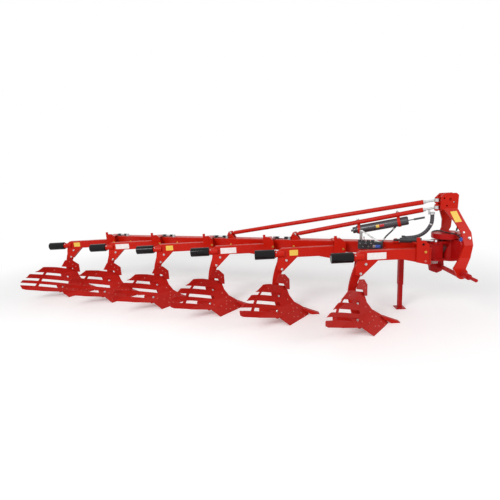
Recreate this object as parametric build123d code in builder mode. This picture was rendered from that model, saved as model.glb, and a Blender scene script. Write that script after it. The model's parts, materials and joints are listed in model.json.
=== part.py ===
from build123d import *
from math import atan2, cos, degrees, pi, radians, sin, tan
import os

# Six-furrow mounted plough, one-way, turning its slices to the right.
# X points forward along the furrow, Y to the left over the unploughed land, Z up.
# The shares, the landsides and the foot of the stand rest on Z = 0.

# Layout of the bodies: places are measured from the first body's upper leg bolt
body_count = 6
body_pitch = 900.0
furrow_width = 378.0
first_body_x = 1982.0
first_body_y = -759.0
bolt_height = 737.0
fit_gap = 0.3

# Arms, one to a body
arm_width = 80.0
arm_height = 121.0
arm_underside = 36.0
arm_front = 750.0
arm_rear = -105.0
arm_kink_x = 410.0
arm_front_drop = 82.0
arm_nose_back = 48.0
arm_nose_drop = 40.0
arm_edge = 8.0
cheek_thickness = 19.7
cheek_front = 138.0
cheek_foot = -146.0
lower_bolt_x = -61.0
leg_head_over = 31.0
leg_head_under = 22.0
leg_rear_under = 42.0
leg_shoulder_under = 137.0
leg_waist = 390.0
leg_heel = 300.0

# Main beam, a square tube that crosses the arms on a slant
beam_size = 150.0
beam_wall = 12.0
beam_corner = 12.0
beam_top = 195.0
beam_offset_x = 700.0
beam_offset_y = 172.0
beam_tail = 170.0

# Brackets that hold each arm on the beam
bracket_length = 143.0
bracket_fronts = [715.0, 750.0, 755.0, 760.0, 760.0, 760.0]
bracket_plate = 18.0
bracket_near_top = 252.0
bracket_far_top = 213.0
bracket_rear_slope = 30.0
bracket_front_slope = 55.0
horn_top = 287.0
horn_length = 34.0
saddle_over = 60.0
saddle_inset = 12.0

# Screwed spindles on the beam's top that set the furrow width, from the second body on
spindle_rear = 800.0
spindle_front = 1000.0
spindle_offset = 58.0
spindle_radius = 10.0
spindle_rise = 24.0
spindle_block = 34.0
spindle_nut_radius = 17.0
spindle_nut_length = 90.0

# Legs, frogs and landsides
leg_thickness = 40.0
shin_y = -20.0
frog_plate = 25.0
frog_top = 390.0
landside_thickness = 12.0
landside_nose = 150.0
landside_heel = -390.0
landside_height = 110.0

# Mouldboard surface, its slats and the brace behind them
plate_thickness = 8.0
straight_run = 150.0
board_reach = 1000.0
board_bottom = 88.0
board_top = 590.0
face_lean = 48.0
slat_slope = 19.5
slot_height = 38.0
brace_thickness = 10.0
brace_width = 42.0

# Share and its point
share_thickness = 14.0
share_edge = 3.0
wing_x = -10.0
wing_y = -399.0
share_nose_x = 180.0
share_nose_y = -172.0
share_end_x = -122.0
share_end_y = -370.0
point_tip_x = 404.0
point_width = 60.0

# Skimmer boards above the mouldboards
trash_thickness = 7.0
trash_x = 32.0
trash_y = 0.0
trash_lean = 50.0
trash_arm_thickness = 14.0

# Overload spring cans behind the arms
can_diameter = 124.0
can_length = 257.0
can_axis_y = -30.0
can_axis_z = 88.0
can_rear_x = -406.0
can_chamfer = 6.0
can_seat_radius = 42.0

# Swivel between the beam and the headstock
swivel_x = 855.0
swivel_y = 110.0
swivel_pin_radius = 35.0
swivel_cap_radius = 49.0
swivel_cap_height = 14.0
swivel_nut_radius = 46.0
swivel_nut_height = 40.0
knuckle_width = 156.0
knuckle_rear = 752.0
knuckle_front = 922.0
knuckle_corner = 18.0
knuckle_step = 11.0
knuckle_foot = 41.0
knuckle_height = beam_size - knuckle_step + knuckle_foot
knuckle_middle = beam_top - knuckle_step - knuckle_height / 2
fork_plate = 25.0
fork_gap = 1.0
fork_radius = 84.0
fork_room = 5.0
swivel_fit = 0.1

# Headstock
hub_x = 1030.0
hub_radius = 92.0
hub_top = 244.0
hub_bottom = -30.0
disc_x = 985.0
disc_radius = 165.0
disc_thickness = 58.0
cross_plate_rear = 1000.0
cross_plate_front = 1070.0
cross_plate_levels = [235.0, 200.0, 60.0, 5.0]
lug_thickness = 50.0
lug_offset = 150.0
side_plate_thickness = 25.0
lower_pin_x = 996.0
lower_pin_z = -110.0
foot_offset = 340.0
foot_radius = 62.0
shoulder_span = 965.0
shoulder_radius = 32.0
lower_pin_diameter = 36.6
lower_pin_length = 128.0
link_pin_radius = 30.0
link_head_radius = 36.0
link_head_length = 16.0
crossbar_radius = 26.0
crossbar_x = 990.0
crossbar_z = -142.0
ear_offset = 50.0
ear_thickness = 25.0
top_pin_x = 974.0
top_pin_z = 695.0
top_pin_diameter = 32.0
ear_hole_diameter = 22.0
ear_rear = 872.0
ear_front = 1068.0
ear_top = 764.0
ear_bottom = 560.0

# Stays from the mast to the beam
stay_diameter = 56.0
stay_neck_radius = 13.0
stay_neck_length = 145.0
stay_nut_radius = 24.0
stay_nut_length = 24.0
stay_thread_inside = 90.0
stay_pin_radius = 14.0
stay_eye_radius = 32.0
stay_eye_height = 36.0
stay_foot_rise = 66.0
stay_foot_width = 44.0
stay_foot_neck = 64.0
stay_foot_neck_radius = 19.0
upper_stay_x = -1667.0
lower_stay_x = -743.0
upper_stay_top_z = 690.0
lower_stay_top_z = 605.0
stay_lug_plate = 16.0
mast_lug_radius = 26.0
stay_lug_length = 150.0
stay_play = 1.0
pin_over = 8.0

# Accumulator under the lower stay
accumulator_diameter = 105.0
accumulator_length = 620.0
accumulator_drop = 94.0
tank_chamfer = 10.0
tank_cap_radius = 40.0
tank_cap_length = 40.0
tank_knob_radius = 14.0
tank_knob_length = 25.0
tank_neck_radius = 6.0
tank_neck_length = 60.0
tank_sleeve_radius = 12.0
tank_sleeve_length = 120.0
tank_port_length = 30.0
accumulator_share = 0.653
clamp_width = 34.0
clamp_band = 7.0
clamp_places = [-268.0, 205.0]

# Cylinder that sets and holds the swivel
cylinder_offset = 84.0
cylinder_span = 430.0
cylinder_radius = 28.0
barrel_room = 4.0
cylinder_length = 240.0
cylinder_neck = 44.0
cylinder_neck_radius = 11.0
rod_radius = 11.0
rod_fit = 0.2
rod_eye_radius = 26.0
rod_eye_height = 24.0
rod_pin_radius = 12.5
rod_pin_fit = 2.0
rod_pin_over = 3.5
rod_eye_gap = 3.0
rod_inside = 120.0
rod_bottom_room = 30.0
lever_rim = 6.0
cylinder_seat_length = 70.0
cylinder_seat_width = 110.0
cylinder_seat_shift = 25.0

# Valve block on the beam's right face
valve_x = 190.0
valve_length = 290.0
valve_width = 80.0
valve_bottom = 115.0
valve_top = 205.0
valve_count = 4
valve_pitch = 52.0
valve_cap_radius = 19.0
valve_cap_height = 18.0

# Frame that props the accumulator on the beam
prop_width = 34.0
prop_thickness = 8.0
prop_shift = 25.0
prop_foot = 90.0

# Hydraulic hoses
tank_hose_diameter = 18.0
swivel_hose_diameter = 20.0
bundle_diameter = 44.0
hose_cap_wall = 6.0
hose_port_over = 3.0
gland_length = 38.0

# Parking stand
stand_x = 575.0
stand_y = 402.0
stand_tube = 60.0
stand_wall = 5.0
stand_play = 0.3
stand_sleeve_length = 600.0
stand_sleeve_top = 190.0
stand_leg_inside = 400.0
stand_foot_width = 120.0
stand_foot_thickness = 12.0

os.makedirs("parts", exist_ok=True)


def beam_y(x):
    """Left of the first body, where the beam's centre line passes at x."""
    return beam_offset_y + (beam_offset_x - x) * furrow_width / body_pitch


def place(x, y, z):
    """A point measured from the first body's upper leg bolt."""
    return Vector(first_body_x + x, first_body_y + y, bolt_height + z)


def body_place(k, x, y, z):
    """The same, measured from body k."""
    return place(x - k * body_pitch, y + k * furrow_width, z)


def side_plane(k, y, z=0.0):
    """An upright plane along the furrow at body k, drawn in x and z, facing right."""
    return Plane(origin=body_place(k, 0, y, z), x_dir=(1, 0, 0), z_dir=(0, -1, 0))


def flat_plane(point):
    return Plane(origin=point, x_dir=(1, 0, 0), z_dir=(0, 0, 1))


def finish(part, name):
    part.label = name
    export_step(part, "parts/" + name + ".step")


def at_bodies(part):
    """One copy of a body's piece for each station along the beam."""
    steps = [body_place(k, 0, 0, 0) - body_place(0, 0, 0, 0) for k in range(body_count)]
    return [part.moved(Location(step)) for step in steps]


def finish_each(part, name):
    for k, copy in enumerate(at_bodies(part)):
        finish(copy, name + "_" + str(k + 1))


def finish_row(part, name):
    """The copies for all stations in one file."""
    with BuildPart() as row:
        for copy in at_bodies(part):
            add(copy)
    finish(row.part, name)


ground = -bolt_height
beam_slant = atan2(furrow_width, body_pitch)
beam_forward = Vector(cos(beam_slant), -sin(beam_slant), 0)
beam_left = Vector(sin(beam_slant), cos(beam_slant), 0)
beam_middle = beam_top - beam_size / 2
swivel_point = place(swivel_x, swivel_y, 0)

def arm_foot(x):
    """Height of the arms' lower edge at x."""
    return arm_underside - arm_front_drop * max(0, x - arm_kink_x) / (arm_front - arm_kink_x)


# Where the fork plates and the cylinder along the beam's top lie
fork_levels = (
    knuckle_middle + knuckle_height / 2 + fork_gap,
    knuckle_middle - knuckle_height / 2 - fork_gap - fork_plate,
)
cylinder_height = fork_levels[0] + fork_plate + rod_eye_gap + rod_eye_height / 2
lever_point = swivel_point - beam_left * cylinder_offset
axis_point = lever_point + Vector(0, 0, cylinder_height)
rear_pin_point = axis_point - beam_forward * cylinder_span
barrel_start = rear_pin_point + beam_forward * cylinder_neck

# Main beam with the brackets that grip the arms welded on, relieved for the fork and the barrel
beam_front = place(swivel_x, beam_y(swivel_x), beam_middle)
beam_rear = body_place(body_count - 1, beam_offset_x, beam_offset_y, beam_middle) - beam_forward * beam_tail
beam_plane = Plane(origin=beam_rear, x_dir=tuple(beam_left), z_dir=tuple(beam_forward))
saddle_near = -arm_width / 2 - bracket_plate
saddle_far = beam_offset_y + saddle_over
bracket_sides = [
    (-arm_width / 2 - fit_gap, bracket_near_top, horn_top),
    (arm_width / 2 + fit_gap + bracket_plate, bracket_far_top, bracket_far_top),
]
knuckle_middle_x = (knuckle_front + knuckle_rear) / 2
knuckle_length = knuckle_front - knuckle_rear
with BuildPart() as beam:
    with BuildSketch(beam_plane):
        RectangleRounded(beam_size, beam_size, beam_corner)
    extrude(amount=(beam_front - beam_rear).length)
    beam_inside = beam_size - 2 * beam_wall
    with BuildSketch(beam_plane.offset(beam_wall)):
        Rectangle(beam_inside, beam_inside)
    extrude(amount=(beam_front - beam_rear).length, mode=Mode.SUBTRACT)
    for k, front in enumerate(bracket_fronts):
        rear = front - bracket_length
        for left_face, top, rear_top in bracket_sides:
            with BuildSketch(side_plane(k, left_face)):
                with BuildLine():
                    Polyline(
                        (rear, arm_foot(rear)),
                        (rear, rear_top),
                        (rear + horn_length, rear_top),
                        (rear + horn_length + 1, top - 1),
                        (front - bracket_front_slope, top - 1),
                        (front, top - bracket_front_slope),
                        (front, arm_foot(front)),
                        close=True,
                    )
                make_face()
            extrude(amount=bracket_plate)
        for level in (beam_top - 1, beam_top - beam_size - bracket_plate + 1):
            saddle = body_place(k, (front + rear) / 2, (saddle_near + saddle_far) / 2, level)
            with BuildSketch(flat_plane(saddle)):
                Rectangle(bracket_length - 2 * saddle_inset, saddle_far - saddle_near)
            extrude(amount=bracket_plate)
    for k in range(body_count):
        with BuildSketch(side_plane(k, arm_width / 2 + fit_gap)):
            with BuildLine():
                Polyline(
                    (arm_kink_x, arm_foot(arm_front) - arm_height),
                    (arm_front + fit_gap, arm_foot(arm_front) - arm_height),
                    (arm_front + fit_gap, arm_underside + arm_height + fit_gap),
                    (arm_kink_x, arm_underside + arm_height + fit_gap),
                    close=True,
                )
            make_face()
        extrude(amount=arm_width + 2 * fit_gap, mode=Mode.SUBTRACT)
    with BuildSketch(flat_plane(place(knuckle_middle_x, swivel_y, beam_middle - beam_size))):
        RectangleRounded(knuckle_length + 2 * fit_gap, knuckle_width + 2 * fit_gap, knuckle_corner + fit_gap)
    extrude(amount=2 * beam_size, mode=Mode.SUBTRACT)
    with BuildSketch(flat_plane(place(knuckle_front, swivel_y, beam_middle - beam_size))):
        Rectangle(knuckle_length, 2 * knuckle_width)
    extrude(amount=2 * beam_size, mode=Mode.SUBTRACT)
    with BuildSketch(flat_plane(swivel_point + Vector(0, 0, fork_levels[0] - fork_room))):
        Circle(fork_radius + fork_room)
    extrude(amount=beam_size, mode=Mode.SUBTRACT)
    with BuildSketch(Plane(origin=barrel_start - beam_forward * barrel_room, z_dir=tuple(beam_forward))):
        Circle(cylinder_radius + barrel_room)
    extrude(amount=cylinder_length + 2 * barrel_room, mode=Mode.SUBTRACT)
finish(beam.part, "main_beam")

# Knuckle on the beam's front end, a block bored for the swivel pin
knuckle_base = swivel_point + Vector(0, 0, knuckle_middle - knuckle_height / 2)
with BuildPart() as knuckle:
    with BuildSketch(flat_plane(knuckle_base + Vector(knuckle_middle_x - swivel_x, 0, 0))):
        RectangleRounded(knuckle_length, knuckle_width, knuckle_corner)
        with Locations((swivel_x - knuckle_middle_x, 0)):
            Circle(swivel_pin_radius, mode=Mode.SUBTRACT)
    extrude(amount=knuckle_height)
finish(knuckle.part, "beam_knuckle")

# Swivel pin through the knuckle and the fork, with a cap above and a nut below
pin_base = knuckle_base - Vector(0, 0, fork_gap + fork_plate)
pin_length = knuckle_height + 2 * (fork_gap + fork_plate) + fit_gap
with BuildPart() as swivel_pin:
    with BuildSketch(flat_plane(pin_base)):
        Circle(swivel_pin_radius - swivel_fit)
    extrude(amount=pin_length)
    with BuildSketch(flat_plane(pin_base + Vector(0, 0, pin_length))):
        Circle(swivel_cap_radius)
    extrude(amount=swivel_cap_height)
    with BuildSketch(flat_plane(pin_base - Vector(0, 0, swivel_nut_height))):
        RegularPolygon(swivel_nut_radius, 6)
    extrude(amount=swivel_nut_height)
finish(swivel_pin.part, "swivel_pin")

# Arms: box arms with a pair of cheeks that take the leg and a seat for the spring can
can_plane = Plane(origin=place(can_rear_x, can_axis_y, can_axis_z), x_dir=(0, 1, 0), z_dir=(1, 0, 0))
arm_seat_start = can_length + fit_gap
with BuildPart() as arm:
    with BuildSketch(side_plane(0, arm_width / 2)):
        with BuildLine():
            Polyline(
                (arm_rear, arm_underside),
                (arm_kink_x, arm_underside),
                (arm_front, arm_foot(arm_front)),
                (arm_front, arm_underside + arm_height),
                (arm_rear + arm_nose_back, arm_underside + arm_height),
                (arm_rear, arm_underside + arm_height - arm_nose_drop),
                close=True,
            )
        make_face()
    extrude(amount=arm_width)
    long_edges = arm.faces().filter_by(Axis.Y).edges()
    fillet(long_edges, arm_edge)
    for left_face in (arm_width / 2, cheek_thickness - arm_width / 2):
        with BuildSketch(side_plane(0, left_face)):
            with BuildLine():
                Polyline(
                    (arm_rear, arm_underside + arm_edge + 2),
                    (cheek_front, arm_underside + arm_edge + 2),
                    (cheek_front, arm_underside),
                    (lower_bolt_x + 20, cheek_foot + 8),
                    (lower_bolt_x - 12, cheek_foot),
                    (lower_bolt_x - 62, cheek_foot + 22),
                    (arm_rear - 14, arm_underside - 60),
                    close=True,
                )
            make_face()
        extrude(amount=cheek_thickness)
    with BuildSketch(can_plane.offset(arm_seat_start)):
        Circle(can_seat_radius)
    extrude(amount=arm_rear + arm_width - can_rear_x - arm_seat_start)
finish_each(arm.part, "arm")

# Level cuts through the mouldboard's face, from its foot to its crown:
# height above ground, shin x, lean of the first run, lean of the whole board in degrees
board_levels = [
    (88, 205, 45, 47),
    (170, 82, 43, 46.5),
    (260, 22, 43.5, 47.5),
    (370, -12, 43, 51),
    (470, -22, 48, 56.5),
    (590, -6, 55, 62),
]


def board_level(z):
    """The face's sizes at height z, read between the levels of the table."""
    pairs = list(zip(board_levels, board_levels[1:]))
    low, high = next((p for p in pairs if z <= p[1][0]), pairs[-1])
    share = (z - low[0]) / (high[0] - low[0])
    return tuple(a + (b - a) * share for a, b in zip(low, high))


def levels_between(low, high):
    inner = [level for level in board_levels if low < level[0] < high]
    return [board_level(low)] + inner + [board_level(high)]


def heading(lean):
    """Unit vector that runs back and to the right, lean degrees off straight back."""
    return Vector(-cos(radians(lean)), -sin(radians(lean)))


def behind(lean):
    """Unit vector at right angles to a heading, away from the working face."""
    return Vector(-sin(radians(lean)), cos(radians(lean)))


def board_cut(level, front, back):
    """A level slice of a curved plate between two depths behind the working face."""
    z, shin_x, lean, chord = level
    shin = Vector(shin_x, shin_y)
    corner = shin + heading(lean) * straight_run
    tip = shin + heading(chord) * board_reach
    span = tip - corner
    end_lean = 2 * degrees(atan2(-span.Y, -span.X)) - lean
    with BuildSketch(flat_plane(place(0, 0, z + ground))) as cut:
        with BuildLine():
            ends = []
            for depth in (front, back):
                start = shin + behind(lean) * depth
                bend = corner + behind(lean) * depth
                end = tip + behind(end_lean) * depth
                Line(start, bend)
                TangentArc(bend, end, tangent=heading(lean))
                ends.append((start, end))
            Line(ends[0][0], ends[1][0])
            Line(ends[0][1], ends[1][1])
        make_face()
    return cut.sketch


# A plane set across the working face: x runs back along it, y is height above ground
face_run = heading(face_lean)
face_back = behind(face_lean)
face_plane = Plane(
    origin=place(0, shin_y, ground),
    x_dir=(face_run.X, face_run.Y, 0),
    z_dir=(face_back.X, face_back.Y, 0),
)

# Outline of the board on the face plane, run back and height
board_outline = [
    (-320, 88),
    (330, 88),
    (600, 158),
    (835, 240),
    (878, 268),
    (896, 326),
    (884, 384),
    (852, 420),
    (790, 452),
    (750, 498),
    (614, 519),
    (540, 563),
    (455, 541),
    (330, 504),
    (200, 454),
    (90, 416),
    (20, 394),
    (-320, 372),
]

# Slots between the slats: where each starts, run back and height
board_slots = [
    (140, 300),
    (190, 200),
    (280, 140),
]

# Brace across the backs of the slats, from its upper end to its lower end
brace_upper = (430, 505)
brace_lower = (650, 235)
brace_rise = 15

# Mouldboards: a curved plate slotted into four slats, with a brace across their backs
with BuildPart() as board:
    loft([board_cut(level, 0, plate_thickness) for level in levels_between(board_bottom, board_top)], ruled=True)
    with BuildSketch(face_plane):
        with BuildLine():
            Polyline(*board_outline, close=True)
        make_face()
    extrude(amount=board_reach, both=True, mode=Mode.INTERSECT)
    with BuildSketch(face_plane):
        for start, height in board_slots:
            with Locations(Location((start, height, 0), (0, 0, slat_slope))):
                Rectangle(board_reach, slot_height, align=(Align.MIN, Align.CENTER))
    extrude(amount=board_reach, both=True, mode=Mode.SUBTRACT)
brace_back = plate_thickness + brace_thickness
with BuildPart() as brace:
    loft([board_cut(level, plate_thickness - 1, brace_back) for level in levels_between(board_bottom, board_top)], ruled=True)
    with BuildSketch(face_plane):
        with BuildLine():
            Polyline(
                brace_upper,
                (brace_upper[0] + brace_width, brace_upper[1] + brace_rise),
                (brace_lower[0] + brace_width, brace_lower[1] + brace_rise),
                brace_lower,
                close=True,
            )
        make_face()
    extrude(amount=board_reach, both=True, mode=Mode.INTERSECT)
with BuildPart() as mouldboard:
    add(board.part)
    add(brace.part)
finish_each(mouldboard.part, "mouldboard")

# Shares: a bevelled blade under the board and a chisel point ahead of it
blade_top = board_bottom - fit_gap
shin_foot = Vector(board_levels[0][1], shin_y)
blade_bend = shin_foot + heading(board_levels[0][2]) * straight_run
blade_lines = [
    (0, share_edge, [(share_nose_x + 88, shin_y - 40), (share_nose_x, share_nose_y), (wing_x, wing_y)]),
    (blade_top, share_thickness, [(shin_foot.X, shin_foot.Y), (blade_bend.X, blade_bend.Y), (share_end_x, share_end_y)]),
]
with BuildPart() as share:
    for z, depth, line in blade_lines:
        back_line = [(x + face_back.X * depth, y + face_back.Y * depth) for x, y in reversed(line)]
        with BuildSketch(flat_plane(place(0, 0, z + ground))):
            with BuildLine():
                Polyline(*line, *back_line, close=True)
            make_face()
    loft(ruled=True)
    with BuildSketch(side_plane(0, shin_y + 2, ground)):
        with BuildLine():
            Polyline(
                (point_tip_x, 1),
                (point_tip_x - 6, 13),
                (278, 60),
                (212, blade_top),
                (185, blade_top),
                (215, 48),
                (300, 0),
                close=True,
            )
        make_face()
    extrude(amount=point_width)
finish_each(share.part, "share")

# Outline of the frog on the face plane: its foot, and an arm behind the lowest and the top slat
frog_outline = [
    (-200, 0),
    (375, 0),
    (375, 192),
    (255, 172),
    (165, 150),
    (130, 200),
    (130, 262),
    (265, 292),
    (265, 378),
    (110, 385),
    (-200, frog_top),
]

# Legs: a curved leg, the frog that carries board and share, and the landside
frog_back = plate_thickness + fit_gap
leg_head = bolt_height + leg_head_over
leg_head_foot = bolt_height - leg_head_under
leg_rear = bolt_height - leg_rear_under
leg_shoulder = bolt_height - leg_shoulder_under
with BuildPart() as frog_face:
    loft([board_cut(level, frog_back, frog_back + frog_plate) for level in levels_between(board_bottom, frog_top)], ruled=True)
    with BuildSketch(face_plane):
        with BuildLine():
            Polyline(*frog_outline, close=True)
        make_face()
    extrude(amount=board_reach, both=True, mode=Mode.INTERSECT)
with BuildPart() as leg:
    add(frog_face.part)
    with BuildSketch(side_plane(0, leg_thickness / 2, ground)):
        with BuildLine():
            Polyline((-205, leg_heel), (-100, 190), (-70, 330), (-112, leg_waist))
            ThreePointArc((-112, leg_waist), (-96, (leg_waist + leg_shoulder) / 2), (-50, leg_shoulder))
            Polyline((-50, leg_shoulder), (45, leg_head_foot), (45, leg_head), (-100, leg_head), (-127, leg_rear))
            ThreePointArc((-127, leg_rear), (-186, (leg_rear + leg_heel) / 2), (-205, leg_heel))
        make_face()
    extrude(amount=leg_thickness)
    with BuildSketch(side_plane(0, shin_y + 2, ground)):
        with BuildLine():
            Polyline(
                (-180, 400),
                (-205, 300),
                (-150, 60),
                (-80, 12),
                (130, 12),
                (150, 88),
                (45, 160),
                (-20, 250),
                (-60, 345),
                (-120, 400),
                close=True,
            )
        make_face()
    extrude(amount=frog_plate)
    with BuildSketch(side_plane(0, shin_y + landside_thickness, ground)):
        with BuildLine():
            Polyline(
                (landside_heel, 0),
                (landside_nose, 0),
                (landside_nose - 10, landside_height - 30),
                (landside_nose - 60, landside_height),
                (landside_heel + 20, landside_height),
                (landside_heel, landside_height - 25),
                close=True,
            )
        make_face()
    extrude(amount=landside_thickness + 2)
finish_each(leg.part, "leg")

# Skimmer boards above the mouldboards, each on a short arm from the leg's front edge
trash_run = heading(trash_lean)
trash_back = behind(trash_lean)
trash_plane = Plane(
    origin=place(trash_x, trash_y, ground),
    x_dir=(trash_run.X, trash_run.Y, 0),
    z_dir=(trash_back.X, trash_back.Y, 0),
)

# Outline of a skimmer board on its own plane, run back and height
trash_outline = [
    (0, 336),
    (0, 475),
    (92, 564),
    (217, 595),
    (290, 500),
    (165, 458),
    (118, 440),
    (100, 392),
    (45, 345),
]
with BuildPart() as trash:
    with BuildSketch(trash_plane):
        with BuildLine():
            Polyline(*trash_outline, close=True)
        make_face()
    extrude(amount=trash_thickness)
    with BuildSketch(side_plane(0, trash_arm_thickness / 2, ground)):
        with BuildLine():
            Polyline((-125, 505), (-125, 455), (-20, 415), (trash_x - 10, 415), (trash_x - 10, 470), close=True)
        make_face()
    extrude(amount=trash_arm_thickness)
    add(leg.part, mode=Mode.SUBTRACT)
finish_row(trash.part, "trash_boards")

# Overload spring cans on the seats behind the arms
with BuildPart() as can:
    with BuildSketch(can_plane):
        Circle(can_diameter / 2)
    extrude(amount=can_length)
    chamfer(can.edges().filter_by(GeomType.CIRCLE), can_chamfer)
finish_row(can.part, "spring_cans")

# Side plates of the headstock: level cuts from the ear down to the foot:
# height, rear x, front x, distance of the plate's middle from the headstock's centre
side_plate_cuts = [
    (590, 905, 1060, 50),
    (441, 993, 1105, 140),
    (330, 1030, 1138, 215),
    (200, 1024, 1118, 300),
    (60, 984, 1098, 300),
    (-50, 900, 1034, 340),
    (-110, 936, 1040, 340),
]

# Spare top link holes in the ears, x and height
ear_holes = [(906, 709), (1019, 661), (939, 623)]

# Swivel hose from the disc up to a bulkhead fitting inside the right side plate
swivel_hose_points = [(1039, 6, 318), (1041, 5, 352), (1048, -8, 388), (1056, -30, 409)]
hose_boss_radius = 14.0
hose_boss_length = 14.0
hose_foot_length = 24.0


def route(points):
    """The points of a cord, measured from the first body's upper leg bolt."""
    return [place(*point) for point in points]


def cord(points, diameter, name):
    """A cord along straight runs joined by arcs as large as the runs allow."""
    corners = list(zip(points, points[1:], points[2:]))
    radii = []
    for a, b, c in corners:
        turn = radians((b - a).get_angle(c - b))
        shorter = min((b - a).length, (c - b).length)
        radii.append(0.45 * shorter / tan(turn / 2))
    print(name, "radii in diameters:", [round(radius / diameter, 1) for radius in radii])
    with BuildPart() as tube:
        with BuildLine() as line:
            FilletPolyline(*points, radius=radii)
        with BuildSketch(Plane(origin=points[0], z_dir=tuple(points[1] - points[0]))):
            Circle(diameter / 2)
        sweep(path=line.line)
    section = pi * diameter ** 2 / 4
    length = sum(edge.length for edge in line.edges())
    print(name, "volume over section times length:", round(tube.part.volume / (section * length), 4))
    finish(tube.part, name)


swivel_hose = route(swivel_hose_points)
swivel_hose_end = (swivel_hose[-1] - swivel_hose[-2]).normalized()
for side, name in ((-1, "right"), (1, "left")):
    with BuildPart() as side_plate:
        for z, rear, front, offset in side_plate_cuts:
            middle = place((rear + front) / 2, swivel_y + side * offset, z)
            with BuildSketch(flat_plane(middle)):
                Rectangle(front - rear, side_plate_thickness)
        loft(ruled=True)
        ear_left = swivel_y + side * ear_offset + ear_thickness / 2
        with BuildSketch(side_plane(0, ear_left)):
            with BuildLine():
                Polyline(
                    (ear_rear, ear_bottom + 30),
                    (ear_rear, ear_top - 35),
                    (ear_rear + 35, ear_top),
                    (ear_front - 25, ear_top),
                    (ear_front, ear_top - 25),
                    (ear_front - 4, ear_bottom + 30),
                    (ear_front - 22, ear_bottom),
                    (ear_rear + 60, ear_bottom),
                    close=True,
                )
            make_face()
        extrude(amount=ear_thickness)
        foot_left = swivel_y + side * foot_offset + side_plate_thickness / 2
        with BuildSketch(side_plane(0, foot_left)):
            with Locations((lower_pin_x, lower_pin_z)):
                Circle(foot_radius)
        extrude(amount=side_plate_thickness)
        with BuildSketch(side_plane(0, foot_left + 1)):
            with Locations((lower_pin_x, lower_pin_z)):
                Circle(link_pin_radius + fit_gap)
        extrude(amount=side_plate_thickness + 2, mode=Mode.SUBTRACT)
        with BuildSketch(side_plane(0, ear_left + 1)):
            with Locations((top_pin_x, top_pin_z)):
                Circle(top_pin_diameter / 2)
            with Locations(*ear_holes):
                Circle(ear_hole_diameter / 2)
        extrude(amount=ear_thickness + 2, mode=Mode.SUBTRACT)
        if side < 0:
            with BuildSketch(Plane(origin=swivel_hose[-1], z_dir=tuple(swivel_hose_end))):
                Circle(hose_boss_radius)
            extrude(amount=hose_boss_length)
    finish(side_plate.part, "headstock_plate_" + name)

# Mast head: a plate between the ears with the lugs and the upright pin of the stays
head_plate_x = swivel_x + stay_eye_radius + 10
head_plate_thickness = 20.0
ear_inside = ear_offset - ear_thickness / 2
lug_levels = []
for level in (upper_stay_top_z, lower_stay_top_z):
    lug_levels.append(level + stay_eye_height / 2 + stay_play)
    lug_levels.append(level - stay_eye_height / 2 - stay_play - stay_lug_plate)
with BuildPart() as mast_head:
    with BuildSketch(side_plane(0, swivel_y + ear_inside - fit_gap)):
        with BuildLine():
            Polyline(
                (head_plate_x, ear_bottom + 5),
                (head_plate_x + head_plate_thickness, ear_bottom + 5),
                (head_plate_x + head_plate_thickness, ear_top - 15),
                (head_plate_x, ear_top - 15),
                close=True,
            )
        make_face()
    extrude(amount=2 * (ear_inside - fit_gap))
    for level in lug_levels:
        with BuildSketch(flat_plane(swivel_point + Vector(0, 0, level))):
            Circle(mast_lug_radius)
            with Locations(((head_plate_x - swivel_x + 1) / 2, 0)):
                Rectangle(head_plate_x - swivel_x + 1, 2 * mast_lug_radius)
        extrude(amount=stay_lug_plate)
    pin_foot = min(lug_levels) - 6
    with BuildSketch(flat_plane(swivel_point + Vector(0, 0, pin_foot))):
        Circle(stay_pin_radius)
    extrude(amount=max(lug_levels) + stay_lug_plate + pin_over - pin_foot)
finish(mast_head.part, "mast_head")

# Outline of the lug that hangs from the cross plate and holds the crossbar, x and height
lug_outline = [
    (1000, 40),
    (1040, 40),
    (1030, -60),
    (1040, -150),
    (1016, -205),
    (956, -230),
    (880, -200),
    (866, -130),
    (930, -90),
    (985, -40),
]


def plate_inside(z):
    """How far a side plate's inner face stands from the headstock's centre at height z."""
    pairs = list(zip(side_plate_cuts, side_plate_cuts[1:]))
    high, low = next(p for p in pairs if p[1][0] <= z)
    share = (z - low[0]) / (high[0] - low[0])
    return low[3] + (high[3] - low[3]) * share - side_plate_thickness / 2 - fit_gap


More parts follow.
